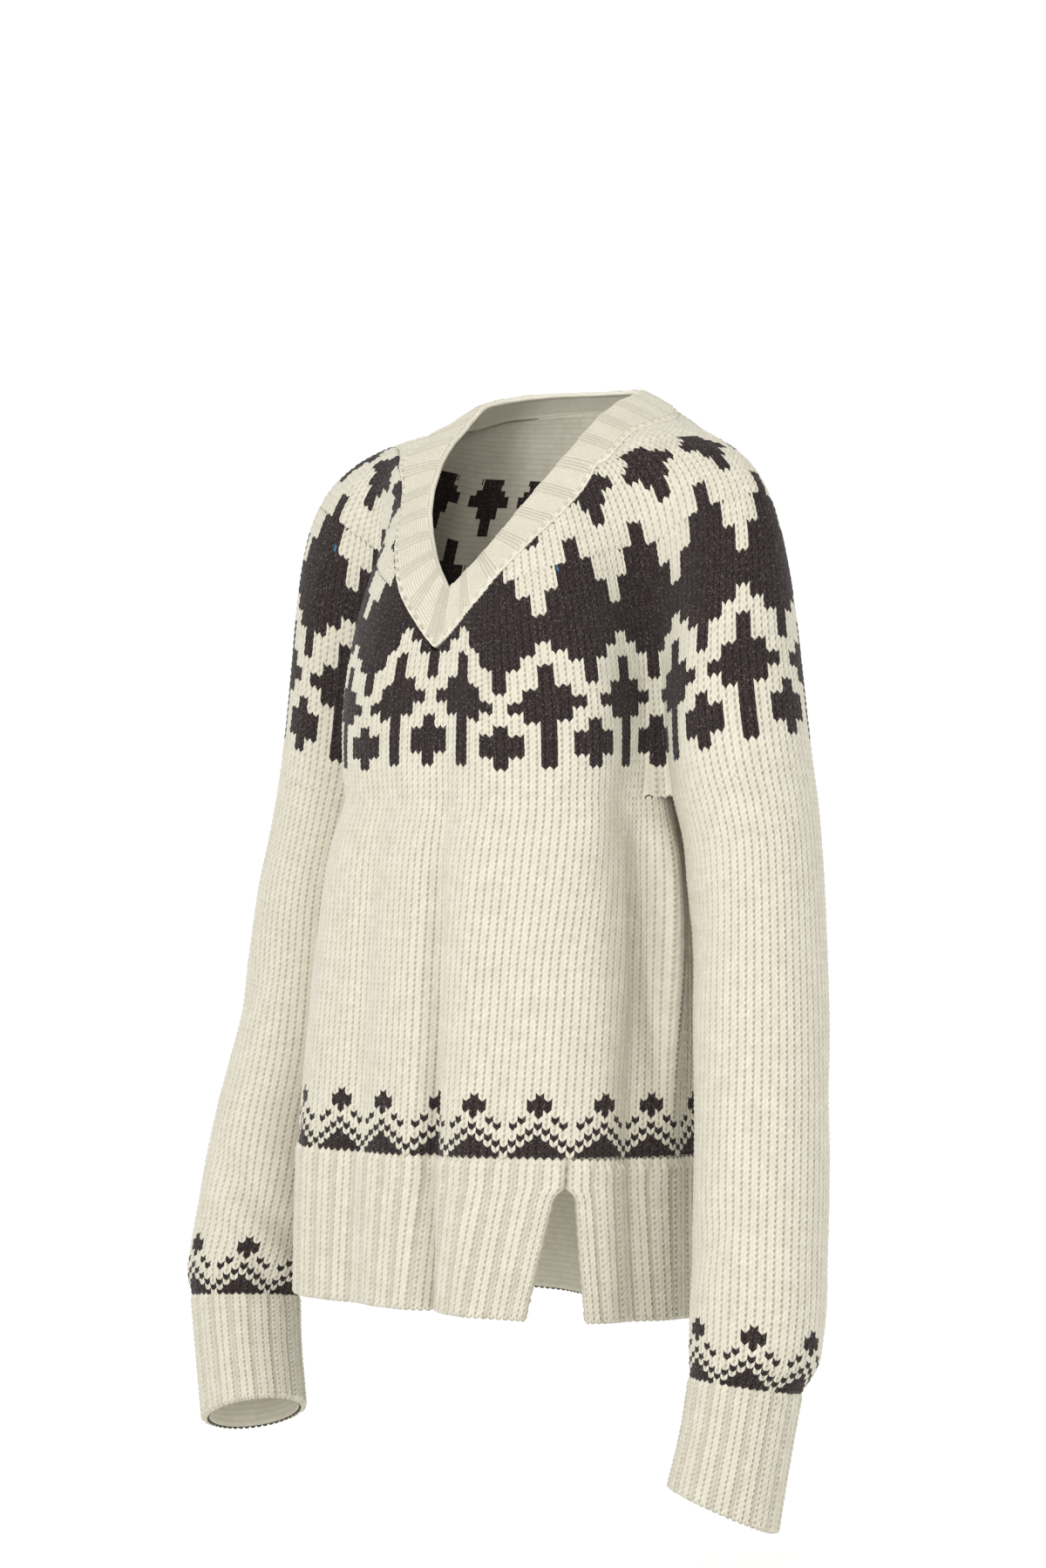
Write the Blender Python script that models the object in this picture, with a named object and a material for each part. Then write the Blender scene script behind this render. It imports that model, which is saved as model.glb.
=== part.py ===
"""V-neck sweater with a round patterned yoke, standing open as it is worn.

Metres, +Z up. X runs to the wearer's left, -Y is the front. The origin is between the shoulders,
inside the neck opening, where a wearer holds the sweater up.

The yoke is one piece worked over body and sleeves. It is counted in stitches around: 0 at the
centre front, 60 at the outside of the left arm, 120 at the centre back. The body and its hem
are counted the same way, with 160 stitches.
"""

import bmesh
import bpy
import numpy as np

# Stitch counts round the pieces
BODY_STITCHES = 160
YOKE_STITCHES = 240
SLEEVE_STITCHES = 56
UNDERARM_STITCHES = 8
RIB_STITCHES = 3

# Walls and gaps
WALL = 0.003
RIB_WALL = 0.0032
BAND_WALL = 0.0045
SEAM_GAP = 0.0004
BAND_GAP = 0.0010
RIB_HEIGHT = 0.0018
PANEL_HEIGHT = 0.0010

# Levels of the body, as depths below the origin
UNDERARM_DEPTH = 0.310
HEM_RIB_DEPTH = 0.594
SLIT_DEPTH = 0.612
HEM_DEPTH = 0.7156

# The body hangs lower on its left, and its wales lean by this many stitches at the hem
HEM_SLOPE = -0.045
HEM_TWIST = 1.0

# Near the underarm level, the stitches between these two are drawn outward by so many stitches
PULL = 2.0
PULL_RISE = (6, 26)
PULL_FALL = (29, 36)
PULL_DEPTH = 0.45

# The front hem panel has this many stitches, and the slits open this far below it
FRONT_PANEL_STITCHES = 48
SLIT_SHIFT = {"front_left": -3.2, "front_right": 0.6, "back_left": 1.9, "back_right": -3.6}

# The rounded top of a slit: its height, and the stitches that it takes and bends at each side
NOTCH_HEIGHT = 0.008
NOTCH_STITCHES = 0.9
NOTCH_REACH = 1.6

# Levels of the hem panels' rings, from the lowest, and of the body's
HEM_LEVELS = (HEM_DEPTH, 0.675, 0.640, SLIT_DEPTH + NOTCH_HEIGHT, SLIT_DEPTH)
BODY_LEVELS = (0.335, 0.360, 0.400, 0.440, 0.480, 0.520, 0.560, HEM_RIB_DEPTH)

# Body sections: depth, half_width, front, back, power, shift_x
BODY_SECTIONS = (
    (0.270, 0.136, 0.129, 0.118, 2.50, 0.000),
    (0.310, 0.140, 0.130, 0.118, 2.50, 0.003),
    (0.350, 0.151, 0.132, 0.119, 2.50, -0.003),
    (0.420, 0.159, 0.133, 0.118, 2.55, -0.008),
    (0.500, 0.164, 0.132, 0.116, 2.70, -0.012),
    (0.600, 0.167, 0.131, 0.114, 2.85, -0.017),
    (0.720, 0.168, 0.130, 0.113, 2.90, -0.020),
)

# Soft folds down the body: place and its drift to the hem in stitches, half_width, and the
# depth of the fold at the levels below. A fold of negative depth is a ridge.
FOLD_LEVELS = (0.29, 0.38, 0.52, 0.72)
BODY_FOLDS = (
    (3.0, 0.0, 0.011, 0.002, 0.011, 0.015, 0.017),
    (9.5, 0.5, 0.016, -0.001, -0.004, -0.006, -0.006),
    (-8.5, -1.0, 0.016, 0.001, 0.005, 0.007, 0.008),
    (-17.0, -1.5, 0.018, 0.000, -0.002, -0.004, -0.005),
    (32.0, 1.0, 0.020, 0.007, 0.019, 0.015, 0.008),
    (38.5, 0.5, 0.011, 0.000, -0.005, -0.004, -0.001),
    (-29.0, -3.0, 0.018, 0.008, 0.010, 0.006, 0.005),
    (53.0, 1.0, 0.019, 0.005, 0.009, 0.008, 0.006),
    (66.0, 2.0, 0.015, 0.002, 0.005, 0.008, 0.009),
    (81.0, -1.5, 0.020, 0.001, 0.006, 0.009, 0.011),
    (97.0, 1.0, 0.017, 0.003, 0.006, 0.006, 0.007),
    (110.0, -2.0, 0.019, 0.006, 0.009, 0.007, 0.005),
)

# Sleeve sections: depth, centre x (outward) and y, radius, tilt outward and back
SLEEVE_SECTIONS = {
    "left": (
        (0.3100, 0.2035, 0.0205, 0.0555, 0.00, 0.00),
        (0.3420, 0.2124, 0.0174, 0.0530, 0.04, 0.00),
        (0.3800, 0.2200, 0.0110, 0.0530, 0.05, 0.00),
        (0.4500, 0.2290, 0.0035, 0.0530, 0.02, -0.02),
        (0.5200, 0.2375, -0.0040, 0.0520, 0.00, -0.04),
        (0.5900, 0.2435, -0.0120, 0.0515, -0.02, -0.05),
        (0.6600, 0.2480, -0.0210, 0.0515, -0.04, -0.07),
        (0.7200, 0.2510, -0.0290, 0.0510, -0.06, -0.08),
        (0.7500, 0.2495, -0.0325, 0.0480, -0.08, -0.09),
        (0.7666, 0.2440, -0.0340, 0.0420, -0.10, -0.10),
    ),
    "right": (
        (0.3100, 0.2035, 0.0205, 0.0555, 0.00, 0.00),
        (0.3420, 0.2105, 0.0172, 0.0535, 0.04, 0.00),
        (0.3800, 0.2165, 0.0110, 0.0530, 0.05, 0.00),
        (0.4450, 0.2250, 0.0050, 0.0525, 0.02, -0.02),
        (0.5150, 0.2350, -0.0030, 0.0520, 0.00, -0.04),
        (0.5850, 0.2485, -0.0150, 0.0515, -0.01, -0.06),
        (0.6450, 0.2545, -0.0250, 0.0515, -0.02, -0.07),
        (0.6800, 0.2580, -0.0310, 0.0510, -0.03, -0.08),
        (0.7050, 0.2620, -0.0350, 0.0480, -0.04, -0.08),
        (0.7190, 0.2640, -0.0360, 0.0425, -0.05, -0.08),
    ),
}

# Cuff sections, below the sleeves, with the same columns
CUFF_SECTIONS = {
    "left": (
        (0.7666, 0.2440, -0.0340, 0.0415, -0.10, -0.10),
        (0.8100, 0.2400, -0.0410, 0.0400, -0.20, -0.16),
        (0.8640, 0.2335, -0.0500, 0.0405, -0.34, -0.25),
    ),
    "right": (
        (0.7190, 0.2640, -0.0360, 0.0420, -0.05, -0.08),
        (0.7600, 0.2560, -0.0420, 0.0405, -0.18, -0.14),
        (0.8140, 0.2430, -0.0500, 0.0400, -0.34, -0.22),
    ),
}

# Creases of the sleeves: side, turn from the outside towards the front in degrees, depth below
# the origin, width in degrees, height, slope of the crease, and how far it goes in
SLEEVE_CREASES = (
    ("left", 128.0, 0.420, 40.0, 0.050, 0.0006, 0.0050),
    ("left", -70.0, 0.560, 45.0, 0.030, -0.0005, 0.0030),
    ("left", 100.0, 0.655, 42.0, 0.022, 0.0005, 0.0030),
    ("right", 70.0, 0.470, 50.0, 0.028, -0.0005, 0.0035),
    ("right", 120.0, 0.640, 48.0, 0.016, 0.0007, 0.0060),
    ("right", 130.0, 0.690, 40.0, 0.012, 0.0006, 0.0060),
    ("right", -80.0, 0.590, 45.0, 0.030, 0.0004, 0.0035),
)

# Yoke wales: stitch, then the points that each wale's curve leaves the underarm level towards,
# comes to the neck from, and ends at
YOKE_WALES = (
    (0, (0.000, -0.1275, -0.2210), (0.000, -0.1060, -0.1190), (0.000, -0.0600, -0.0700)),
    (12, (0.0760, -0.1260, -0.2060), (0.0410, -0.1050, -0.1050), (0.0295, -0.0580, -0.0640)),
    (24, (0.1390, -0.0780, -0.2100), (0.0960, -0.0730, -0.0900), (0.0610, -0.0441, -0.0576)),
    (36, (0.1365, -0.0080, -0.2208), (0.1410, -0.0200, -0.0767), (0.1033, -0.0328, -0.0460)),
    (48, (0.1766, -0.0482, -0.1937), (0.2412, 0.0003, -0.0365), (0.1058, 0.0014, -0.0228)),
    (60, (0.2198, 0.0114, -0.0978), (0.2740, 0.0127, -0.0446), (0.1080, 0.0400, -0.0123)),
    (72, (0.2041, 0.0833, -0.1930), (0.2078, 0.0668, -0.0371), (0.1015, 0.0669, -0.0075)),
    (84, (0.1460, 0.0620, -0.2100), (0.1500, 0.0960, -0.0300), (0.0870, 0.0840, -0.0010)),
    (96, (0.1250, 0.1050, -0.2000), (0.1080, 0.1200, -0.0350), (0.0640, 0.0990, 0.0015)),
    (108, (0.0700, 0.1240, -0.2000), (0.0600, 0.1320, -0.0450), (0.0340, 0.1090, 0.0035)),
    (120, (0.0000, 0.1260, -0.2000), (0.0000, 0.1340, -0.0450), (0.0000, 0.1130, 0.0040)),
)

# The V of the neck, where the yoke ends under the neckband: x and z from the front
NECK_V = (
    (0.000, -0.1965),
    (0.021, -0.1750),
    (0.042, -0.1510),
    (0.065, -0.1160),
    (0.081, -0.0900),
    (0.092, -0.0675),
    (0.102, -0.0434),
)

# The neckband's free edge: stitch, x, y, z
BAND_EDGE = (
    (0, 0.0000, -0.1000, -0.1465),
    (12, 0.0240, -0.0870, -0.1185),
    (24, 0.0490, -0.0630, -0.0770),
    (36, 0.0640, -0.0270, -0.0370),
    (48, 0.0665, 0.0080, -0.0090),
    (60, 0.0705, 0.0340, 0.0065),
    (72, 0.0680, 0.0560, 0.0120),
    (84, 0.0590, 0.0740, 0.0155),
    (96, 0.0430, 0.0880, 0.0175),
    (108, 0.0220, 0.0960, 0.0180),
    (120, 0.0000, 0.0985, 0.0180),
)
BAND_PANELS = 28
BAND_LIFT = 0.0022

# Colours and finish: sRGB-like linear values of the two yarns
CREAM = (0.80, 0.76, 0.63, 1.0)
BAND_CREAM = (0.78, 0.74, 0.60, 1.0)
ROUGHNESS = 0.9

FINE = 960
HALF_TURN = np.pi


def smooth(at, keys, values):
    """A smooth curve through a table's values."""
    keys = np.asarray(keys, float)
    values = np.asarray(values, float)
    slopes = np.gradient(values, keys)
    at = np.clip(np.asarray(at, float), keys[0], keys[-1])
    i = np.clip(np.searchsorted(keys, at, side="right") - 1, 0, len(keys) - 2)
    span = keys[i + 1] - keys[i]
    t = (at - keys[i]) / span
    start = (2 * t**3 - 3 * t**2 + 1) * values[i] + (t**3 - 2 * t**2 + t) * span * slopes[i]
    end = (3 * t**2 - 2 * t**3) * values[i + 1] + (t**3 - t**2) * span * slopes[i + 1]
    return start + end


def ease(value, low, high):
    """0 below low, 1 above high, and a soft step between."""
    t = np.clip((value - low) / (high - low), 0.0, 1.0)
    return t * t * (3 - 2 * t)


def column(table, place):
    return [row[place] for row in table]


def lengths(points):
    """The distance along a line of points, from its first."""
    steps = np.linalg.norm(np.diff(points, axis=0), axis=1)
    return np.concatenate(([0.0], np.cumsum(steps)))


def body_section(depth):
    """One level ring of the body as a fine line, with the stitch that each point carries."""
    keys = column(BODY_SECTIONS, 0)
    half_width, front, back, power, shift = (
        float(smooth(depth, keys, column(BODY_SECTIONS, c))) for c in range(1, 6)
    )
    turn = np.linspace(0.0, 2 * HALF_TURN, FINE + 1)
    s, c = np.sin(turn), np.cos(turn)
    x = half_width * np.sign(s) * np.abs(s) ** (2 / power)
    reach = np.where(c > 0, front, back)
    y = -reach * np.sign(c) * np.abs(c) ** (2 / power)
    line = np.column_stack((x, y))
    stitch = quarter_stitches(line)
    along = np.gradient(line, axis=0)
    along /= np.linalg.norm(along, axis=1)[:, None] + 1e-12
    inward = np.column_stack((-along[:, 1], along[:, 0]))
    pitch = lengths(line)[-1] / BODY_STITCHES
    drift = ease(depth, FOLD_LEVELS[0], FOLD_LEVELS[-1])
    push = np.zeros(FINE + 1)
    for place, move, width, *depths in BODY_FOLDS:
        away = (stitch - place - move * drift + BODY_STITCHES / 2) % BODY_STITCHES
        away = (away - BODY_STITCHES / 2) * pitch
        push += float(smooth(depth, FOLD_LEVELS, depths)) * np.exp(-((away / width) ** 2))
    line = line + inward * push[:, None] + np.array((shift, 0.0))
    return line, quarter_stitches(line)


def quarter_stitches(line):
    """Stitches counted evenly in each quarter of a ring that starts at the centre front."""
    quarter = FINE // 4
    far = lengths(line)
    stitch = np.zeros(FINE + 1)
    for q in range(4):
        a, b = q * quarter, (q + 1) * quarter
        stitch[a : b + 1] = (q + (far[a : b + 1] - far[a]) / (far[b] - far[a])) * BODY_STITCHES / 4
    return stitch


def body_ring(stitches, depth):
    """Points of the body's outer side at one level."""
    line, stitch = body_section(depth)
    lean = HEM_TWIST * ease(depth, UNDERARM_DEPTH, HEM_DEPTH)
    stitches = np.asarray(stitches, float)
    from_front = (stitches + BODY_STITCHES / 2) % BODY_STITCHES - BODY_STITCHES / 2
    pull = PULL * ease(np.abs(from_front), *PULL_RISE) * (1 - ease(np.abs(from_front), *PULL_FALL))
    pull *= np.sign(from_front) * (1 - ease(depth, UNDERARM_DEPTH, PULL_DEPTH))
    at = (stitches - lean + pull) % BODY_STITCHES
    x = np.interp(at, stitch, line[:, 0])
    y = np.interp(at, stitch, line[:, 1])
    slope = HEM_SLOPE * ease(depth, UNDERARM_DEPTH, HEM_DEPTH)
    return np.column_stack((x, y, -depth + slope * x))


def sleeve_ring(side, turns, depth, sections):
    """Points of a sleeve's outer side. A turn is counted from the outside towards the front."""
    keys = column(sections, 0)
    out, y, radius, tilt_out, tilt_back = (
        float(smooth(depth, keys, column(sections, c))) for c in range(1, 6)
    )
    turns = np.asarray(turns, float)
    degrees = np.degrees(turns)
    push = np.zeros_like(turns)
    for crease_side, turn, level, width, height, slope, reach in SLEEVE_CREASES:
        if crease_side == side:
            away = (degrees - turn + 180) % 360 - 180
            fall = (depth - level - slope * away) / height
            push += reach * np.exp(-((away / width) ** 2) - fall**2)
    r = radius - push
    across = r * np.cos(turns)
    back = -r * np.sin(turns)
    sign = 1 if side == "left" else -1
    z = -depth + tilt_out * across + tilt_back * back
    return np.column_stack((sign * (out + across), y + back, z))


def fold_stitch(stitches):
    """A stitch of the yoke on the left half, and its side."""
    s = (np.asarray(stitches, float) + YOKE_STITCHES / 2) % YOKE_STITCHES - YOKE_STITCHES / 2
    return np.abs(s), np.where(s < 0, -1.0, 1.0)


def yoke_base(stitches):
    """The yoke's lowest ring: round the body's front and back and over each sleeve."""
    half, side = fold_stitch(stitches)
    quarter = BODY_STITCHES / 4
    join = quarter - UNDERARM_STITCHES / 2
    over = YOKE_STITCHES / 4
    body_at = np.where(half < over, np.minimum(half, join), half - 2 * over + 2 * quarter)
    body_at = np.where(half < over, body_at, np.maximum(body_at, quarter + UNDERARM_STITCHES / 2))
    body = body_ring(body_at * side, UNDERARM_DEPTH)
    turns = (over - half) * 2 * HALF_TURN / SLEEVE_STITCHES
    sections = SLEEVE_SECTIONS["left"]
    arm = sleeve_ring("left", turns, sections[0][0], sections)
    arm[:, 0] *= side
    away = np.minimum(np.abs(half - join), np.abs(half - (2 * over - join)))
    inside = (half > join) & (half < 2 * over - join)
    share = np.where(inside, 0.5 + 0.5 * ease(away, 0, 1.6), 0.5 - 0.5 * ease(away, 0, 1.6))
    return body * (1 - share[:, None]) + arm * share[:, None]


def wale_points(stitches):
    """The four points of each wale's curve, from the underarm level to the neck."""
    half, side = fold_stitch(stitches)
    keys = [row[0] for row in YOKE_WALES]
    mirrored = [-k for k in keys[:0:-1]] + keys
    mirrored += [YOKE_STITCHES - k for k in keys[-2:-4:-1]]
    curves = [yoke_base(stitches)]
    for place in range(1, 4):
        points = np.zeros((len(half), 3))
        for axis in range(3):
            values = [row[place][axis] for row in YOKE_WALES]
            flip = -1 if axis == 0 else 1
            wide = [flip * v for v in values[:0:-1]] + values
            wide += [flip * v for v in values[-2:-4:-1]]
            points[:, axis] = smooth(half, mirrored, wide)
        points[:, 0] *= side
        curves.append(points)
    return curves


def wale_at(curves, t):
    """A point on each wale, t running from 0 at the underarm level to 1 at the neck."""
    a, b, c, d = curves
    t = np.asarray(t, float)[:, None]
    return (1 - t) ** 3 * a + 3 * (1 - t) ** 2 * t * b + 3 * (1 - t) * t**2 * c + t**3 * d


def wale_ends(stitches, curves):
    """How far up each wale the V of the neck cuts it."""
    half, _ = fold_stitch(stitches)
    steps = np.linspace(0.3, 1.0, 281)
    ends = np.ones(len(half))
    cut_x, cut_z = column(NECK_V, 0), column(NECK_V, 1)
    for t in steps[::-1]:
        at = wale_at(curves, np.full(len(half), t))
        above = at[:, 2] > np.interp(np.abs(at[:, 0]), cut_x, cut_z)
        ends = np.where((half < 36) & above, t, ends)
    return ends


def yoke_grid(stitches, shares):
    """Points of the yoke's outer side, a row for each share of the way to the neck."""
    curves = wale_points(stitches)
    ends = wale_ends(stitches, curves)
    return np.array([wale_at(curves, share * ends) for share in shares])


def band_grid(stitches, across):
    """Points of the neckband's outer side, from its sewn edge to its free edge."""
    half, side = fold_stitch(stitches)
    sewn = yoke_grid(stitches, (1.0,))[0]
    keys = column(BAND_EDGE, 0)
    free = np.column_stack([smooth(half, keys, column(BAND_EDGE, c)) for c in range(1, 4)])
    free[:, 0] *= side
    return np.array([sewn * (1 - v) + free * v for v in across])


def normals(grid, closed):
    """Outward directions of a grid whose rows run up and whose columns run to the wearer's left."""
    up = np.gradient(grid, axis=0)
    if closed:
        along = np.roll(grid, -1, axis=1) - np.roll(grid, 1, axis=1)
    else:
        along = np.gradient(grid, axis=1)
    out = np.cross(along, up)
    return out / (np.linalg.norm(out, axis=2)[:, :, None] + 1e-12)


def material(name, colour):
    made = bpy.data.materials.new(name)
    made.use_nodes = True
    shader = made.node_tree.nodes["Principled BSDF"]
    shader.inputs["Base Color"].default_value = colour
    shader.inputs["Roughness"].default_value = ROUGHNESS
    shader.inputs["Metallic"].default_value = 0.0
    return made


def shell(name, outer, inner, closed, finish):
    """A closed wall between two grids of points, joined all round its edges."""
    rows, columns = outer.shape[:2]
    mesh = bmesh.new()
    skins = []
    for grid in (outer, inner):
        skins.append([[mesh.verts.new(p) for p in row] for row in grid])
    out, inside = skins
    spans = range(columns) if closed else range(columns - 1)
    for i in range(rows - 1):
        for j in spans:
            k = (j + 1) % columns
            mesh.faces.new((out[i][j], out[i][k], out[i + 1][k], out[i + 1][j]))
            mesh.faces.new((inside[i][j], inside[i + 1][j], inside[i + 1][k], inside[i][k]))
    for j in spans:
        k = (j + 1) % columns
        mesh.faces.new((out[0][k], out[0][j], inside[0][j], inside[0][k]))
        mesh.faces.new((out[-1][j], out[-1][k], inside[-1][k], inside[-1][j]))
    if not closed:
        for i in range(rows - 1):
            mesh.faces.new((out[i][0], out[i + 1][0], inside[i + 1][0], inside[i][0]))
            last = columns - 1
            side = (out[i + 1][last], out[i][last], inside[i][last], inside[i + 1][last])
            mesh.faces.new(side)
    bmesh.ops.triangulate(mesh, faces=mesh.faces[:])
    bmesh.ops.recalc_face_normals(mesh, faces=mesh.faces[:])
    data = bpy.data.meshes.new(name)
    mesh.to_mesh(data)
    mesh.free()
    data.materials.append(finish)
    data.shade_smooth()
    made = bpy.data.objects.new(name, data)
    bpy.context.scene.collection.objects.link(made)
    return made


def make_yoke(finish):
    fine_near = (0, 3, 6, 9, 12, 16, 20, 24, 28, 31, 33.5, 35, 36, 37, 38.5, 41, 44, 48, 52, 56)
    left = list(fine_near) + [60] + [120 - s for s in fine_near[:0:-1]]
    stitches = np.array(left + [120] + [240 - s for s in left[:0:-1]], float)
    shares = np.linspace(0.0, 1.0, 13)
    outer = yoke_grid(stitches, shares)
    outward = normals(outer, True)
    inner = outer - WALL * outward
    inner[0, :, 2] = outer[0, :, 2]
    shell("yoke", outer, inner, True, finish)


def make_body(finish):
    stitches = np.arange(0, BODY_STITCHES, 2.5)
    top = UNDERARM_DEPTH + SEAM_GAP
    depths = np.array((top, *BODY_LEVELS))
    outer = np.array([body_ring(stitches, d) for d in depths[::-1]])
    inner = outer - WALL * normals(outer, True)
    for edge in (0, -1):
        inner[edge, :, 2] = outer[edge, :, 2]
    shell("body", outer, inner, True, finish)


def make_sleeve(side, finish):
    sections = SLEEVE_SECTIONS[side]
    turns = -np.linspace(0, 2 * HALF_TURN, 22, endpoint=False)
    if side == "right":
        turns = -turns
    start = sections[0][0] + SEAM_GAP
    depths = np.concatenate((np.linspace(start, sections[-3][0], 9), column(sections[-2:], 0)))
    outer = np.array([sleeve_ring(side, turns, d, sections) for d in depths[::-1]])
    inner = outer - WALL * normals(outer, True)
    for edge in (0, -1):
        inner[edge, :, 2] = outer[edge, :, 2]
    shell("sleeve_" + side, outer, inner, True, finish)


def rib_relief(stitches):
    """How far the ribs stand out: two raised stitches and one low one."""
    phase = np.mod(np.asarray(stitches, float), RIB_STITCHES) / RIB_STITCHES
    return np.where((phase > 0.2) & (phase < 0.8), RIB_HEIGHT, 0.0)


def rib_columns(first, count):
    """Three columns for each rib, one in the groove and two on the ridge."""
    marks = []
    for rib in range(count):
        start = first + rib * RIB_STITCHES
        marks += [start, start + 0.28 * RIB_STITCHES, start + 0.72 * RIB_STITCHES]
    return marks


def make_cuff(side, finish):
    sections = CUFF_SECTIONS[side]
    ribs = 16
    marks = np.array(rib_columns(0, ribs))
    turns = -marks / (ribs * RIB_STITCHES) * 2 * HALF_TURN
    if side == "right":
        turns = -turns
    depths = np.linspace(sections[0][0] + SEAM_GAP, sections[-1][0], 4)
    base = np.array([sleeve_ring(side, turns, d, sections) for d in depths[::-1]])
    outward = normals(base, True)
    outer = base + outward * rib_relief(marks)[None, :, None]
    inner = base - RIB_WALL * outward
    for grid in (outer, inner):
        grid[-1, :, 2] = base[-1, :, 2]
    shell("cuff_" + side, outer, inner, True, finish)


def hem_grid(marks, first, last, shift_first, shift_last, levels):
    """A hem panel's points, its edges drawing apart below the top of the slits."""
    rows = []
    for depth in levels:
        fall = np.clip((depth - SLIT_DEPTH) / (HEM_DEPTH - SLIT_DEPTH), 0.0, 1.0)
        notch = ease(depth, SLIT_DEPTH, SLIT_DEPTH + NOTCH_HEIGHT)
        share = (marks - first) / (last - first)
        at = marks + fall * (shift_first * (1 - share) + shift_last * share)
        near = np.exp((first - marks) / NOTCH_REACH) - np.exp((marks - last) / NOTCH_REACH)
        at = at + notch * NOTCH_STITCHES * near
        rows.append(body_ring(at, depth))
    return np.array(rows)


def make_hem_panel(name, first, ribs, shifts, finish):
    last = first + ribs * RIB_STITCHES
    gap = 0.05
    marks = rib_columns(first, ribs) + [last]
    marks[0] += gap
    marks[-1] -= gap
    marks = np.array(marks)
    levels = (*HEM_LEVELS, HEM_RIB_DEPTH + SEAM_GAP)
    base = hem_grid(marks, first, last, *shifts, levels)
    outward = normals(base, False)
    outer = base + outward * rib_relief(marks - first)[None, :, None]
    inner = base - RIB_WALL * outward
    for grid in (outer, inner):
        grid[-1, :, 2] = base[-1, :, 2]
    shell(name, outer, inner, False, finish)


def make_hem(finish):
    half = FRONT_PANEL_STITCHES / 2
    front_ribs = FRONT_PANEL_STITCHES // RIB_STITCHES
    back_stitches = BODY_STITCHES - FRONT_PANEL_STITCHES
    back_ribs = back_stitches // RIB_STITCHES
    spare = back_stitches - back_ribs * RIB_STITCHES
    front = (SLIT_SHIFT["front_right"], SLIT_SHIFT["front_left"])
    back = (SLIT_SHIFT["back_left"], SLIT_SHIFT["back_right"])
    make_hem_panel("hem_rib_front", -half, front_ribs, front, finish)
    make_hem_panel("hem_rib_back", half + spare / 2, back_ribs, back, finish)


def band_stitches(count):
    """Places round the neckband, evenly spaced along it, as the yoke stitches beside them."""
    fine = np.linspace(-YOKE_STITCHES / 2, YOKE_STITCHES / 2, 961)
    middle = band_grid(fine, (0.5,))[0]
    far = lengths(middle)
    zero = np.interp(0.0, fine, far)
    marks = []
    for k in range(count):
        start = k / count
        marks += [start, start + 0.28 / count, start + 0.72 / count]
    place = (np.array(marks) * far[-1] + zero) % far[-1]
    return np.interp(place, far, fine), np.array(marks) * count


def make_neckband(finish):
    stitches, phase = band_stitches(BAND_PANELS)
    base = band_grid(stitches, (0.0, 0.5, 1.0))
    outward = normals(base, True)
    lift = np.array((0.35, 1.3, 0.7))[:, None] * BAND_LIFT
    raised = (np.mod(phase, 1.0) > 0.2) & (np.mod(phase, 1.0) < 0.8)
    relief = np.where(raised, PANEL_HEIGHT, 0.0)[None, :] * np.array((0.0, 1.0, 0.6))[:, None]
    outer = base + outward * (lift + relief)[:, :, None]
    inner = base - outward * (BAND_WALL - lift[:, :, None])
    last_rows = yoke_grid(stitches, (0.96, 1.0))
    yoke_out = normals(last_rows, True)[1]
    edge = np.roll(last_rows[1], -1, axis=0) - np.roll(last_rows[1], 1, axis=0)
    away = np.cross(yoke_out, edge)
    away /= np.linalg.norm(away, axis=1)[:, None]
    outer[0] = base[0] + away * BAND_GAP
    inner[0] = base[0] + away * BAND_GAP - yoke_out * WALL
    shell("neckband", outer, inner, True, finish)


def main():
    for old in list(bpy.data.objects):
        bpy.data.objects.remove(old)
    wool = material("cream_wool", CREAM)
    fine_wool = material("fine_cream_wool", BAND_CREAM)
    make_yoke(wool)
    make_body(wool)
    for side in ("left", "right"):
        make_sleeve(side, wool)
        make_cuff(side, wool)
    make_hem(wool)
    make_neckband(fine_wool)


main()
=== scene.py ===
"""The looks of the v-neck sweater: every piece as knitted stitches on the form of its solid.

Each piece is a grid of stitches. A stitch is a V of two legs: four columns and two rows of faces,
its rows drawn down to the V's point. Charts below say which stitches are worked in dark tweed.
"""

import bpy
import numpy as np
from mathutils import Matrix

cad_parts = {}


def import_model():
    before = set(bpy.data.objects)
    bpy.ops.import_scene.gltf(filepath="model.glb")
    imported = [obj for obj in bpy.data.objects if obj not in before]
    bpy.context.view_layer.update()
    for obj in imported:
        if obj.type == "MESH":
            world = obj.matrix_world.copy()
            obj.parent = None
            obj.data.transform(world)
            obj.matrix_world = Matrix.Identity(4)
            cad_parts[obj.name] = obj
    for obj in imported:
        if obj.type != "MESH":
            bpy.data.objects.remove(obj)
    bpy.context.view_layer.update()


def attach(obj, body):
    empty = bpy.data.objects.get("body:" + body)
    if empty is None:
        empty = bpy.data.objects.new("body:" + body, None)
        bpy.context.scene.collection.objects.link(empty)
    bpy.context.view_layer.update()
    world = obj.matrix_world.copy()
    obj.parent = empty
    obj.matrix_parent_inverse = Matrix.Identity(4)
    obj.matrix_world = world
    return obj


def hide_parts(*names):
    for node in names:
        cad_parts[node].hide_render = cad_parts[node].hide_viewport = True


# Stitch counts round the pieces
BODY_STITCHES = 160
YOKE_STITCHES = 240
SLEEVE_STITCHES = 56
UNDERARM_STITCHES = 8
RIB_STITCHES = 3

# Walls
WALL = 0.003
RIB_WALL = 0.0032
BAND_WALL = 0.0045
RIB_HEIGHT = 0.0018

# Levels of the body, as depths below the origin
UNDERARM_DEPTH = 0.310
HEM_RIB_DEPTH = 0.594
SLIT_DEPTH = 0.612
HEM_DEPTH = 0.7156

# The body hangs lower on its left, and its wales lean by this many stitches at the hem
HEM_SLOPE = -0.045
HEM_TWIST = 1.0

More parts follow.
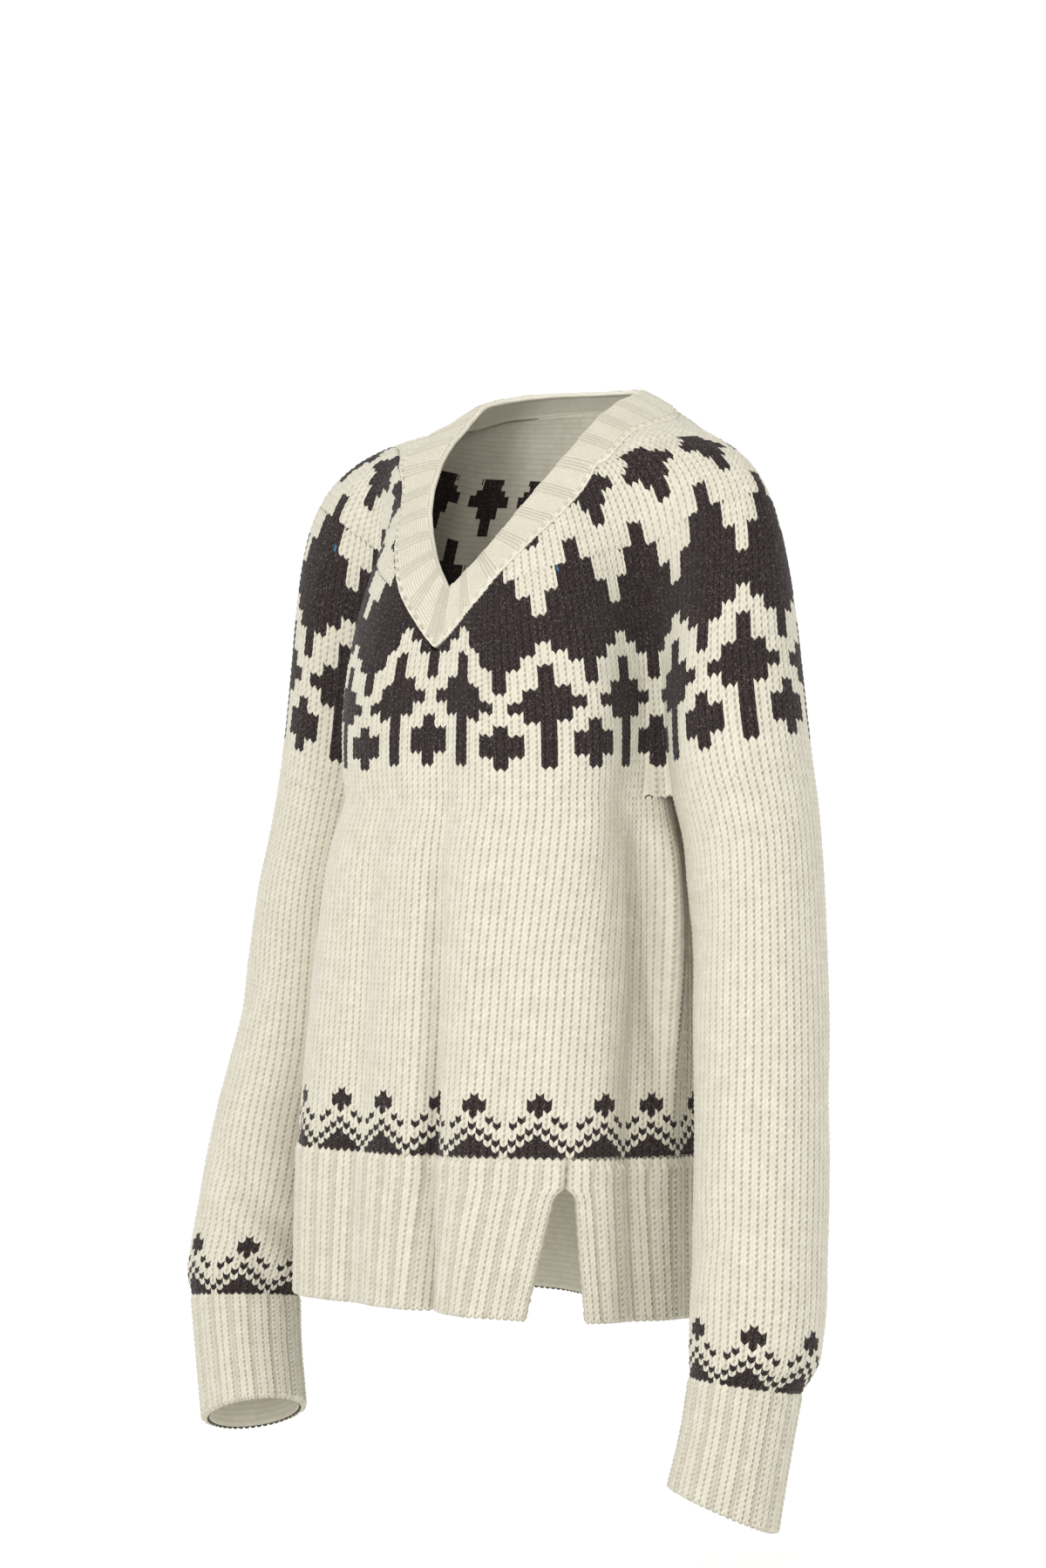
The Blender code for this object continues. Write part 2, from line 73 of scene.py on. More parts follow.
# Near the underarm level, the stitches between these two are drawn outward by so many stitches
PULL = 2.0
PULL_RISE = (6, 26)
PULL_FALL = (29, 36)
PULL_DEPTH = 0.45

# Stitches of the front hem panel, and how many of them each slit edge shifts by at the bottom
FRONT_PANEL_STITCHES = 48
SLIT_SHIFT = {"front_left": -3.2, "front_right": 0.6, "back_left": 1.9, "back_right": -3.6}

# The rounded top of a slit: its height, and the stitches that it takes and bends at each side
NOTCH_HEIGHT = 0.008
NOTCH_STITCHES = 0.9
NOTCH_REACH = 1.6

# Body sections: depth, half_width, front, back, power, shift_x
BODY_SECTIONS = (
    (0.270, 0.136, 0.129, 0.118, 2.50, 0.000),
    (0.310, 0.140, 0.130, 0.118, 2.50, 0.003),
    (0.350, 0.151, 0.132, 0.119, 2.50, -0.003),
    (0.420, 0.159, 0.133, 0.118, 2.55, -0.008),
    (0.500, 0.164, 0.132, 0.116, 2.70, -0.012),
    (0.600, 0.167, 0.131, 0.114, 2.85, -0.017),
    (0.720, 0.168, 0.130, 0.113, 2.90, -0.020),
)

# Soft folds down the body: place and its drift to the hem in stitches, half_width, and the
# depth of the fold at the levels below. A fold of negative depth is a ridge.
FOLD_LEVELS = (0.29, 0.38, 0.52, 0.72)
BODY_FOLDS = (
    (3.0, 0.0, 0.011, 0.002, 0.011, 0.015, 0.017),
    (9.5, 0.5, 0.016, -0.001, -0.004, -0.006, -0.006),
    (-8.5, -1.0, 0.016, 0.001, 0.005, 0.007, 0.008),
    (-17.0, -1.5, 0.018, 0.000, -0.002, -0.004, -0.005),
    (32.0, 1.0, 0.020, 0.007, 0.019, 0.015, 0.008),
    (38.5, 0.5, 0.011, 0.000, -0.005, -0.004, -0.001),
    (-29.0, -3.0, 0.018, 0.008, 0.010, 0.006, 0.005),
    (53.0, 1.0, 0.019, 0.005, 0.009, 0.008, 0.006),
    (66.0, 2.0, 0.015, 0.002, 0.005, 0.008, 0.009),
    (81.0, -1.5, 0.020, 0.001, 0.006, 0.009, 0.011),
    (97.0, 1.0, 0.017, 0.003, 0.006, 0.006, 0.007),
    (110.0, -2.0, 0.019, 0.006, 0.009, 0.007, 0.005),
)

# Sleeve sections: depth, centre x (outward) and y, radius, tilt outward and back
SLEEVE_SECTIONS = {
    "left": (
        (0.3100, 0.2035, 0.0205, 0.0555, 0.00, 0.00),
        (0.3420, 0.2124, 0.0174, 0.0530, 0.04, 0.00),
        (0.3800, 0.2200, 0.0110, 0.0530, 0.05, 0.00),
        (0.4500, 0.2290, 0.0035, 0.0530, 0.02, -0.02),
        (0.5200, 0.2375, -0.0040, 0.0520, 0.00, -0.04),
        (0.5900, 0.2435, -0.0120, 0.0515, -0.02, -0.05),
        (0.6600, 0.2480, -0.0210, 0.0515, -0.04, -0.07),
        (0.7200, 0.2510, -0.0290, 0.0510, -0.06, -0.08),
        (0.7500, 0.2495, -0.0325, 0.0480, -0.08, -0.09),
        (0.7666, 0.2440, -0.0340, 0.0420, -0.10, -0.10),
    ),
    "right": (
        (0.3100, 0.2035, 0.0205, 0.0555, 0.00, 0.00),
        (0.3420, 0.2105, 0.0172, 0.0535, 0.04, 0.00),
        (0.3800, 0.2165, 0.0110, 0.0530, 0.05, 0.00),
        (0.4450, 0.2250, 0.0050, 0.0525, 0.02, -0.02),
        (0.5150, 0.2350, -0.0030, 0.0520, 0.00, -0.04),
        (0.5850, 0.2485, -0.0150, 0.0515, -0.01, -0.06),
        (0.6450, 0.2545, -0.0250, 0.0515, -0.02, -0.07),
        (0.6800, 0.2580, -0.0310, 0.0510, -0.03, -0.08),
        (0.7050, 0.2620, -0.0350, 0.0480, -0.04, -0.08),
        (0.7190, 0.2640, -0.0360, 0.0425, -0.05, -0.08),
    ),
}

# Cuff sections, below the sleeves, with the same columns
CUFF_SECTIONS = {
    "left": (
        (0.7666, 0.2440, -0.0340, 0.0415, -0.10, -0.10),
        (0.8100, 0.2400, -0.0410, 0.0400, -0.20, -0.16),
        (0.8640, 0.2335, -0.0500, 0.0405, -0.34, -0.25),
    ),
    "right": (
        (0.7190, 0.2640, -0.0360, 0.0420, -0.05, -0.08),
        (0.7600, 0.2560, -0.0420, 0.0405, -0.18, -0.14),
        (0.8140, 0.2430, -0.0500, 0.0400, -0.34, -0.22),
    ),
}

# Creases of the sleeves: side, turn from the outside towards the front in degrees, depth below
# the origin, width in degrees, height, slope of the crease, and how far it goes in
SLEEVE_CREASES = (
    ("left", 128.0, 0.420, 40.0, 0.050, 0.0006, 0.0050),
    ("left", -70.0, 0.560, 45.0, 0.030, -0.0005, 0.0030),
    ("left", 100.0, 0.655, 42.0, 0.022, 0.0005, 0.0030),
    ("right", 70.0, 0.470, 50.0, 0.028, -0.0005, 0.0035),
    ("right", 120.0, 0.640, 48.0, 0.016, 0.0007, 0.0060),
    ("right", 130.0, 0.690, 40.0, 0.012, 0.0006, 0.0060),
    ("right", -80.0, 0.590, 45.0, 0.030, 0.0004, 0.0035),
)

# Yoke wales: stitch, then the points that each wale's curve leaves the underarm level towards,
# comes to the neck from, and ends at
YOKE_WALES = (
    (0, (0.000, -0.1275, -0.2210), (0.000, -0.1060, -0.1190), (0.000, -0.0600, -0.0700)),
    (12, (0.0760, -0.1260, -0.2060), (0.0410, -0.1050, -0.1050), (0.0295, -0.0580, -0.0640)),
    (24, (0.1390, -0.0780, -0.2100), (0.0960, -0.0730, -0.0900), (0.0610, -0.0441, -0.0576)),
    (36, (0.1365, -0.0080, -0.2208), (0.1410, -0.0200, -0.0767), (0.1033, -0.0328, -0.0460)),
    (48, (0.1766, -0.0482, -0.1937), (0.2412, 0.0003, -0.0365), (0.1058, 0.0014, -0.0228)),
    (60, (0.2198, 0.0114, -0.0978), (0.2740, 0.0127, -0.0446), (0.1080, 0.0400, -0.0123)),
    (72, (0.2041, 0.0833, -0.1930), (0.2078, 0.0668, -0.0371), (0.1015, 0.0669, -0.0075)),
    (84, (0.1460, 0.0620, -0.2100), (0.1500, 0.0960, -0.0300), (0.0870, 0.0840, -0.0010)),
    (96, (0.1250, 0.1050, -0.2000), (0.1080, 0.1200, -0.0350), (0.0640, 0.0990, 0.0015)),
    (108, (0.0700, 0.1240, -0.2000), (0.0600, 0.1320, -0.0450), (0.0340, 0.1090, 0.0035)),
    (120, (0.0000, 0.1260, -0.2000), (0.0000, 0.1340, -0.0450), (0.0000, 0.1130, 0.0040)),
)

# The V of the neck, where the yoke ends under the neckband: x and z from the front
NECK_V = (
    (0.000, -0.1965),
    (0.021, -0.1750),
    (0.042, -0.1510),
    (0.065, -0.1160),
    (0.081, -0.0900),
    (0.092, -0.0675),
    (0.102, -0.0434),
)

# The neckband's free edge: stitch, x, y, z
BAND_EDGE = (
    (0, 0.0000, -0.1000, -0.1465),
    (12, 0.0240, -0.0870, -0.1185),
    (24, 0.0490, -0.0630, -0.0770),
    (36, 0.0640, -0.0270, -0.0370),
    (48, 0.0665, 0.0080, -0.0090),
    (60, 0.0705, 0.0340, 0.0065),
    (72, 0.0680, 0.0560, 0.0120),
    (84, 0.0590, 0.0740, 0.0155),
    (96, 0.0430, 0.0880, 0.0175),
    (108, 0.0220, 0.0960, 0.0180),
    (120, 0.0000, 0.0985, 0.0180),
)
BAND_PANELS = 28
BAND_LIFT = 0.0022

# Points in a ring of the body
FINE = 960
HALF_TURN = np.pi


def smooth(at, keys, values):
    """A smooth curve through a table's values."""
    keys = np.asarray(keys, float)
    values = np.asarray(values, float)
    slopes = np.gradient(values, keys)
    at = np.clip(np.asarray(at, float), keys[0], keys[-1])
    i = np.clip(np.searchsorted(keys, at, side="right") - 1, 0, len(keys) - 2)
    span = keys[i + 1] - keys[i]
    t = (at - keys[i]) / span
    start = (2 * t**3 - 3 * t**2 + 1) * values[i] + (t**3 - 2 * t**2 + t) * span * slopes[i]
    end = (3 * t**2 - 2 * t**3) * values[i + 1] + (t**3 - t**2) * span * slopes[i + 1]
    return start + end


def ease(value, low, high):
    """0 below low, 1 above high, and a soft step between."""
    t = np.clip((value - low) / (high - low), 0.0, 1.0)
    return t * t * (3 - 2 * t)


def column(table, place):
    return [row[place] for row in table]


def lengths(points):
    """The distance along a line of points, from its first."""
    steps = np.linalg.norm(np.diff(points, axis=0), axis=1)
    return np.concatenate(([0.0], np.cumsum(steps)))


def body_section(depth):
    """One level ring of the body as a fine line, with the stitch that each point carries."""
    keys = column(BODY_SECTIONS, 0)
    half_width, front, back, power, shift = (
        float(smooth(depth, keys, column(BODY_SECTIONS, c))) for c in range(1, 6)
    )
    turn = np.linspace(0.0, 2 * HALF_TURN, FINE + 1)
    s, c = np.sin(turn), np.cos(turn)
    x = half_width * np.sign(s) * np.abs(s) ** (2 / power)
    reach = np.where(c > 0, front, back)
    y = -reach * np.sign(c) * np.abs(c) ** (2 / power)
    line = np.column_stack((x, y))
    stitch = quarter_stitches(line)
    along = np.gradient(line, axis=0)
    along /= np.linalg.norm(along, axis=1)[:, None] + 1e-12
    inward = np.column_stack((-along[:, 1], along[:, 0]))
    pitch = lengths(line)[-1] / BODY_STITCHES
    drift = ease(depth, FOLD_LEVELS[0], FOLD_LEVELS[-1])
    push = np.zeros(FINE + 1)
    for place, move, width, *depths in BODY_FOLDS:
        away = (stitch - place - move * drift + BODY_STITCHES / 2) % BODY_STITCHES
        away = (away - BODY_STITCHES / 2) * pitch
        push += float(smooth(depth, FOLD_LEVELS, depths)) * np.exp(-((away / width) ** 2))
    line = line + inward * push[:, None] + np.array((shift, 0.0))
    return line, quarter_stitches(line)


def quarter_stitches(line):
    """Stitches counted evenly in each quarter of a ring that starts at the centre front."""
    quarter = FINE // 4
    far = lengths(line)
    stitch = np.zeros(FINE + 1)
    for q in range(4):
        a, b = q * quarter, (q + 1) * quarter
        stitch[a : b + 1] = (q + (far[a : b + 1] - far[a]) / (far[b] - far[a])) * BODY_STITCHES / 4
    return stitch


def body_ring(stitches, depth):
    """Points of the body's outer side at one level."""
    line, stitch = body_section(depth)
    lean = HEM_TWIST * ease(depth, UNDERARM_DEPTH, HEM_DEPTH)
    stitches = np.asarray(stitches, float)
    from_front = (stitches + BODY_STITCHES / 2) % BODY_STITCHES - BODY_STITCHES / 2
    pull = PULL * ease(np.abs(from_front), *PULL_RISE) * (1 - ease(np.abs(from_front), *PULL_FALL))
    pull *= np.sign(from_front) * (1 - ease(depth, UNDERARM_DEPTH, PULL_DEPTH))
    at = (stitches - lean + pull) % BODY_STITCHES
    x = np.interp(at, stitch, line[:, 0])
    y = np.interp(at, stitch, line[:, 1])
    slope = HEM_SLOPE * ease(depth, UNDERARM_DEPTH, HEM_DEPTH)
    return np.column_stack((x, y, -depth + slope * x))


def sleeve_ring(side, turns, depth, sections):
    """Points of a sleeve's outer side. A turn is counted from the outside towards the front."""
    keys = column(sections, 0)
    out, y, radius, tilt_out, tilt_back = (
        float(smooth(depth, keys, column(sections, c))) for c in range(1, 6)
    )
    turns = np.asarray(turns, float)
    degrees = np.degrees(turns)
    push = np.zeros_like(turns)
    for crease_side, turn, level, width, height, slope, reach in SLEEVE_CREASES:
        if crease_side == side:
            away = (degrees - turn + 180) % 360 - 180
            fall = (depth - level - slope * away) / height
            push += reach * np.exp(-((away / width) ** 2) - fall**2)
    r = radius - push
    across = r * np.cos(turns)
    back = -r * np.sin(turns)
    sign = 1 if side == "left" else -1
    z = -depth + tilt_out * across + tilt_back * back
    return np.column_stack((sign * (out + across), y + back, z))


def fold_stitch(stitches):
    """A stitch of the yoke on the left half, and its side."""
    s = (np.asarray(stitches, float) + YOKE_STITCHES / 2) % YOKE_STITCHES - YOKE_STITCHES / 2
    return np.abs(s), np.where(s < 0, -1.0, 1.0)


def yoke_base(stitches):
    """The yoke's lowest ring: round the body's front and back and over each sleeve."""
    half, side = fold_stitch(stitches)
    quarter = BODY_STITCHES / 4
    join = quarter - UNDERARM_STITCHES / 2
    over = YOKE_STITCHES / 4
    body_at = np.where(half < over, np.minimum(half, join), half - 2 * over + 2 * quarter)
    body_at = np.where(half < over, body_at, np.maximum(body_at, quarter + UNDERARM_STITCHES / 2))
    body = body_ring(body_at * side, UNDERARM_DEPTH)
    turns = (over - half) * 2 * HALF_TURN / SLEEVE_STITCHES
    sections = SLEEVE_SECTIONS["left"]
    arm = sleeve_ring("left", turns, sections[0][0], sections)
    arm[:, 0] *= side
    away = np.minimum(np.abs(half - join), np.abs(half - (2 * over - join)))
    inside = (half > join) & (half < 2 * over - join)
    share = np.where(inside, 0.5 + 0.5 * ease(away, 0, 1.6), 0.5 - 0.5 * ease(away, 0, 1.6))
    return body * (1 - share[:, None]) + arm * share[:, None]


def wale_points(stitches):
    """The four points of each wale's curve, from the underarm level to the neck."""
    half, side = fold_stitch(stitches)
    keys = [row[0] for row in YOKE_WALES]
    mirrored = [-k for k in keys[:0:-1]] + keys
    mirrored += [YOKE_STITCHES - k for k in keys[-2:-4:-1]]
    curves = [yoke_base(stitches)]
    for place in range(1, 4):
        points = np.zeros((len(half), 3))
        for axis in range(3):
            values = [row[place][axis] for row in YOKE_WALES]
            flip = -1 if axis == 0 else 1
            wide = [flip * v for v in values[:0:-1]] + values
            wide += [flip * v for v in values[-2:-4:-1]]
            points[:, axis] = smooth(half, mirrored, wide)
        points[:, 0] *= side
        curves.append(points)
    return curves


def wale_at(curves, t):
    """A point on each wale, t running from 0 at the underarm level to 1 at the neck."""
    a, b, c, d = curves
    t = np.asarray(t, float)[:, None]
    return (1 - t) ** 3 * a + 3 * (1 - t) ** 2 * t * b + 3 * (1 - t) * t**2 * c + t**3 * d


def wale_ends(stitches, curves):
    """How far up each wale the V of the neck cuts it."""
    half, _ = fold_stitch(stitches)
    steps = np.linspace(0.3, 1.0, 281)
    ends = np.ones(len(half))
    cut_x, cut_z = column(NECK_V, 0), column(NECK_V, 1)
    for t in steps[::-1]:
        at = wale_at(curves, np.full(len(half), t))
        above = at[:, 2] > np.interp(np.abs(at[:, 0]), cut_x, cut_z)
        ends = np.where((half < 36) & above, t, ends)
    return ends


def yoke_grid(stitches, shares):
    """Points of the yoke's outer side, a row for each share of the way to the neck."""
    curves = wale_points(stitches)
    ends = wale_ends(stitches, curves)
    return np.array([wale_at(curves, share * ends) for share in shares])


def band_grid(stitches, across):
    """Points of the neckband's outer side, from its sewn edge to its free edge."""
    half, side = fold_stitch(stitches)
    sewn = yoke_grid(stitches, (1.0,))[0]
    keys = column(BAND_EDGE, 0)
    free = np.column_stack([smooth(half, keys, column(BAND_EDGE, c)) for c in range(1, 4)])
    free[:, 0] *= side
    return np.array([sewn * (1 - v) + free * v for v in across])


def normals(grid, closed):
    """Outward directions of a grid whose rows run up and whose columns run to the wearer's left."""
    up = np.gradient(grid, axis=0)
    if closed:
        along = np.roll(grid, -1, axis=1) - np.roll(grid, 1, axis=1)
    else:
        along = np.gradient(grid, axis=1)
    out = np.cross(along, up)
    return out / (np.linalg.norm(out, axis=2)[:, :, None] + 1e-12)


def hem_grid(marks, first, last, shift_first, shift_last, levels):
    """A hem panel's points, its edges drawing apart below the top of the slits."""
    rows = []
    for depth in levels:
        fall = np.clip((depth - SLIT_DEPTH) / (HEM_DEPTH - SLIT_DEPTH), 0.0, 1.0)
        notch = ease(depth, SLIT_DEPTH, SLIT_DEPTH + NOTCH_HEIGHT)
        share = (marks - first) / (last - first)
        at = marks + fall * (shift_first * (1 - share) + shift_last * share)
        near = np.exp((first - marks) / NOTCH_REACH) - np.exp((marks - last) / NOTCH_REACH)
        at = at + notch * NOTCH_STITCHES * near
        rows.append(body_ring(at, depth))
    return np.array(rows)


# How a stitch stands out from its wall, in metres, and how far its legs rise, in rows
COLUMNS = 4
RELIEF = 0.0019
LEG_RISE = 0.68
STITCH_FORM = (
    (0.20, 0.70, -0.40, 0.70),
    (0.50, 1.00, 0.62, 1.00),
)

# Painted shade in the low places of a stitch, a rib's low wale and the reverse's low rows, at most
# 1
PAINTED_STITCH_SHADE = (
    (0.26, 0.05, 0.78, 0.05),
    (0.10, 0.00, 0.20, 0.00),
)
PAINTED_RIB_SHADE = 0.26
PAINTED_PURL_SHADE = 0.20

# Other small forms in metres: the reverse's rows, unevenness, ends drawn in, and rims of open sides
PURL_RELIEF = 0.0007
JITTER = 0.00010
STRIP_TUCK = 0.0006
TUCK_ROWS = (0.6, 1.9)
RIM = 0.0016
RIM_TURN = 0.6
EDGE_WAVE = 0.0020

# Where a rib falls to its low wale, as a share of the rib from its middle
RIB_EDGE = (0.34, 0.46)

# A row above any piece, for pieces that nothing cuts off
NO_LIMIT = 1e6

# Rows of the body and sleeves, counted from the underarm level, and of the ribs
UNDERARM_ROW = -5
BODY_ROWS = 63
SLEEVE_ROWS = {"left": 104, "right": 93}
BAND_ROWS = 11
CUFF_ROWS = 23
HEM_ROWS = 27
CUFF_STITCHES = 48
SLEEVE_FADE = (6, 70)
ROW_LIFT = 0.023

# Creases of the body: stitch, row, lean in stitches to a row, width in stitches, height in rows,
# and how far each goes in
BODY_CREASES = (
    (35.0, -28.0, -0.09, 2.2, 23.0, 0.0165),
    (31.0, -30.0, -0.06, 2.3, 20.0, -0.0085),
    (39.2, -30.0, 0.00, 1.6, 24.0, -0.0060),
    (25.0, -20.0, 0.16, 1.8, 10.0, 0.0012),
    (4.4, -52.0, 0.01, 0.9, 22.0, 0.0025),
    (-34.0, -26.0, -0.02, 1.8, 15.0, 0.0050),
    (14.0, -40.0, 0.12, 2.4, 12.0, 0.0012),
    (-14.0, -34.0, -0.10, 2.2, 12.0, 0.0012),
    (48.0, -30.0, 0.05, 2.0, 16.0, 0.0040),
    (72.0, -44.0, -0.06, 2.0, 14.0, 0.0020),
    (88.0, -36.0, 0.05, 2.2, 14.0, 0.0022),
    (112.0, -30.0, -0.05, 2.0, 16.0, 0.0035),
)

# Rows over which the creases fade out at both ends of the body
CREASE_FADE = 12

# Rows from the yoke's pattern to the neckband, by stitch
NECK_ROWS = (
    (0, 18), (6, 24), (12, 37), (18, 41), (24, 44), (30, 47), (36, 50), (42, 52),
    (48, 55), (54, 58), (60, 60), (72, 62), (120, 63),
)

# The yoke's strips: first row, last row, stitches in a repeat.
YOKE_REPEATS = 20
FULL_REPEAT = 12
YOKE_STRIPS = (
    (-5, 35, 12),
    (35, 50, 10),
    (50, 63, 8),
)

# Yoke chart: axis (0 the pendant's, 1 the stem's), first row, last row, half the dark width
YOKE_CHART = (
    (1, 1, 8, 1), (1, 9, 10, 3), (1, 11, 12, 5), (1, 13, 14, 3), (1, 15, 18, 1),
    (0, 1, 2, 1), (0, 3, 6, 3), (0, 7, 8, 1), (0, 15, 18, 1), (0, 19, 20, 3),
    (0, 21, 22, 5), (0, 23, 27, 6), (0, 28, 31, 5), (0, 32, 35, 3), (0, 36, 39, 1),
    (1, 41, 43, 1), (1, 44, 45, 2), (1, 46, 47, 4), (1, 48, 48, 3), (1, 49, 50, 2),
)

# Band chart above the hem and the cuffs: 8 stitches, rows from the bottom
BAND_CHART = (
    "XXXXXXX.",
    ".XXXXX.X",
    "X.XXX.X.",
    ".X.X.X..",
    "..X.X...",
    "X..X..X.",
    ".X...X..",
    "...X....",
    "..XXX...",
    "..XXX...",
    "...X....",
)
BAND_REPEAT = 8
BAND_MIDDLE = 3

# The neckband: rows in a panel, ridges in each, wales across, and their heights in metres
BAND_PANEL_ROWS = 10
BAND_RIDGES = 4
BAND_WALES = 15
RIDGE_HEIGHT = 0.0012
# Painted shade in the valleys between the ridges and between the fine wales, with less fine relief
# and shade in the ridge zones
PAINTED_RIDGE_SHADE = 0.50
RIDGE_FLAT = 0.25
FINE_RELIEF = 0.0006
PAINTED_FINE_SHADE = 0.50

# How far the neckband stands out across it, as shares of its width and of its lift
BAND_ACROSS = (0, 0.05, 0.12, 0.5, 0.9, 1.0)
BAND_OUT = (0.5, 1.1, 1.25, 1.35, 1.1, 0.5)

# The fold at its free edge: share of the way in, and share of its roundness in metres
BAND_ROUND = 0.0022
BAND_FOLD = ((0.2, 0.7), (0.5, 1.0), (0.8, 0.7))

# Its point: how many stitches it is lifted over, and how far
POINT_REACH = 1.5
POINT_BLUNT = 0.004
POINT_SHARE = 0.25

# Its seam: a stitch for so many rows, its depth, its painted shade, and the depth between the
# stitches
SEAM_PITCH = 6
SEAM_DEPTH = 0.0022
PAINTED_SEAM_SHADE = 0.60
SEAM_REST = 0.25
SEAM_NEXT = 0.4

# Yarn colours as linear light
YARN_CREAM = (0.755, 0.718, 0.600)
YARN_SHADE = (0.705, 0.665, 0.545)
# Cream darkened towards this by a random tone and by painted shade in the hollows
CREAM_TONE_AND_PAINTED_SHADE = (0.32, 0.28, 0.205)
YARN_DARK = (0.030, 0.021, 0.020)
YARN_BROWN = (0.048, 0.031, 0.027)
YARN_GREY = (0.130, 0.112, 0.110)
# Dark yarn darkened towards this by a random tone and by painted shade in the hollows
TWEED_TONE_AND_PAINTED_SHADE = (0.014, 0.010, 0.010)
YARN_NEP = (0.05, 0.20, 0.34)
NEP_SHARE = 0.0022
TONE_SPREAD = 0.12

# The wool's finish
ROUGHNESS = 0.92
SHEEN = 0.12
SHEEN_ROUGHNESS = 0.5
SPECULAR = 0.15

# Its tones and fibres: scale and detail of the noise, and the values between which it acts
CREAM_NOISE = (60.0, 3.0, 0.35, 0.8)
BROWN_NOISE = (240.0, 3.0, 0.48, 0.66)
GREY_NOISE = (700.0, 1.0, 0.56, 0.72)
FIBRE_NOISE = (1500.0, 2.0)
FIBRE_STRENGTH = 0.5
FIBRE_DISTANCE = 0.0004
REVERSE_FIBRE_DISTANCE = 0.0006

# Camera, floor and light
CAMERA_DISTANCE = 5.7
CAMERA_TURN = 38.0
CAMERA_LENS = 162.9
CAMERA_HEIGHT = -0.30
CAMERA_SIDE = -0.0021
CAMERA_END = 200.0
FLOOR_LEVEL = -0.98
FLOOR_SIZE = 60.0
FLOOR_COLOUR = (0.98, 0.98, 0.98, 1.0)
WORLD_COLOUR = (1.0, 1.0, 1.0, 1.0)
WORLD_STRENGTH = 1.03
LIGHT_AIM = (0.0, 0.0, -0.4)
LIGHTS = (
    ("key_light", (1.0, -4.0, 1.30), 1.2, 60.0),
    ("fill_light", (3.9, -1.4, 0.3), 2.6, 10.0),
    ("back_light", (0.5, 3.5, 2.2), 2.5, 8.0),
)

random = np.random.default_rng(7)


def along(grid, levels, wanted):
    """Points of a grid's columns where its levels reach the wanted values, column by column."""
    made = np.empty(wanted.shape + (3,))
    for j in range(wanted.shape[1]):
        at = levels[:, j] if levels.ndim == 2 else levels
        for axis in range(3):
            made[:, j, axis] = np.interp(wanted[:, j], at, grid[:, j, axis])
    return made


def neck_row(stitches):
    half, _ = fold_stitch(stitches)
    return np.interp(half, column(NECK_ROWS, 0), column(NECK_ROWS, 1))


def row_lift(stitches):
    """How far above the underarm level a sleeve's first row lies, most outside the arm."""
    half, _ = fold_stitch(stitches)
    first = (BODY_STITCHES / 2 - UNDERARM_STITCHES) / 2
    share = np.clip((half - first) / (YOKE_STITCHES / 2 - 2 * first), 0, 1)
    return ROW_LIFT * np.sin(share * HALF_TURN) ** 2


def line_lengths(grid):
    """The distance along each column of a grid, from its first row."""
    steps = np.linalg.norm(np.diff(grid, axis=0), axis=2)
    return np.vstack((np.zeros(grid.shape[1]), np.cumsum(steps, axis=0)))


def yoke_pitch(stitches, far):
    """The yoke's row height on each wale, from the length of the wale's line."""
    return (far - row_lift(stitches)) / (neck_row(stitches) - UNDERARM_ROW)


def joined(below, above, rows, lift, below_pitch, above_pitch):
    """Points of wales that run on from one piece to the next, the rows counted from their join."""
    lines = np.concatenate((below, above[1:]))
    far = line_lengths(lines)
    far -= far[len(below) - 1]
    away = rows - UNDERARM_ROW
    wanted = lift + np.where(away < 0, away * below_pitch, away * above_pitch)
    return along(lines, far, wanted)


def creased(points, closed_stitches, rows):
    """Small creases of the body that its solid doesn't show."""
    out = normals(points, True)
    push = np.zeros(rows.shape)
    for stitch, row, lean, width, height, reach in BODY_CREASES:
        away = closed_stitches[None, :] - stitch - lean * (rows - row)
        away = (away + BODY_STITCHES / 2) % BODY_STITCHES - BODY_STITCHES / 2
        push += reach * np.exp(-((away / width) ** 2) - ((rows - row) / height) ** 2)
    from_top = UNDERARM_ROW - rows
    push *= ease(from_top, 0, CREASE_FADE) * ease(BODY_ROWS - from_top, 0, CREASE_FADE)
    return points - out * push[:, :, None]


def place_body(stitches, rows):
    """Points of the body for stitches and rows, the rows counted up to the underarm row."""
    drop = (HEM_RIB_DEPTH - UNDERARM_DEPTH) / BODY_ROWS
    depths = np.linspace(HEM_RIB_DEPTH + 2 * drop, UNDERARM_DEPTH, 90)
    below = np.array([body_ring(stitches, depth) for depth in depths])
    at = (stitches + BODY_STITCHES / 2) % BODY_STITCHES - BODY_STITCHES / 2
    quarter = BODY_STITCHES / 4
    edge = quarter - UNDERARM_STITCHES / 2
    over = (YOKE_STITCHES - BODY_STITCHES) / 2
    past = np.abs(at) > quarter
    behind = np.maximum(np.abs(at), quarter + edge / 9) + over
    half = np.where(past, behind, np.minimum(np.abs(at), edge))
    on_yoke = np.where(at < 0, -half, half)
    upward = yoke_grid(on_yoke, np.linspace(0.0, 0.12, 8))
    under = np.abs(np.abs(at) - quarter) < UNDERARM_STITCHES / 2
    rise = np.linspace(0.0, 0.015, 8)[:, None]
    upward[:, under] = below[-1][None, under] + np.array((0, 0, 1)) * rise[:, :, None]
    whole = line_lengths(yoke_grid(on_yoke, np.linspace(0.0, 1.0, 30)))[-1]
    above_pitch = np.where(under, drop, yoke_pitch(half, whole))
    return creased(joined(below, upward, rows, 0.0, drop, above_pitch), stitches, rows)


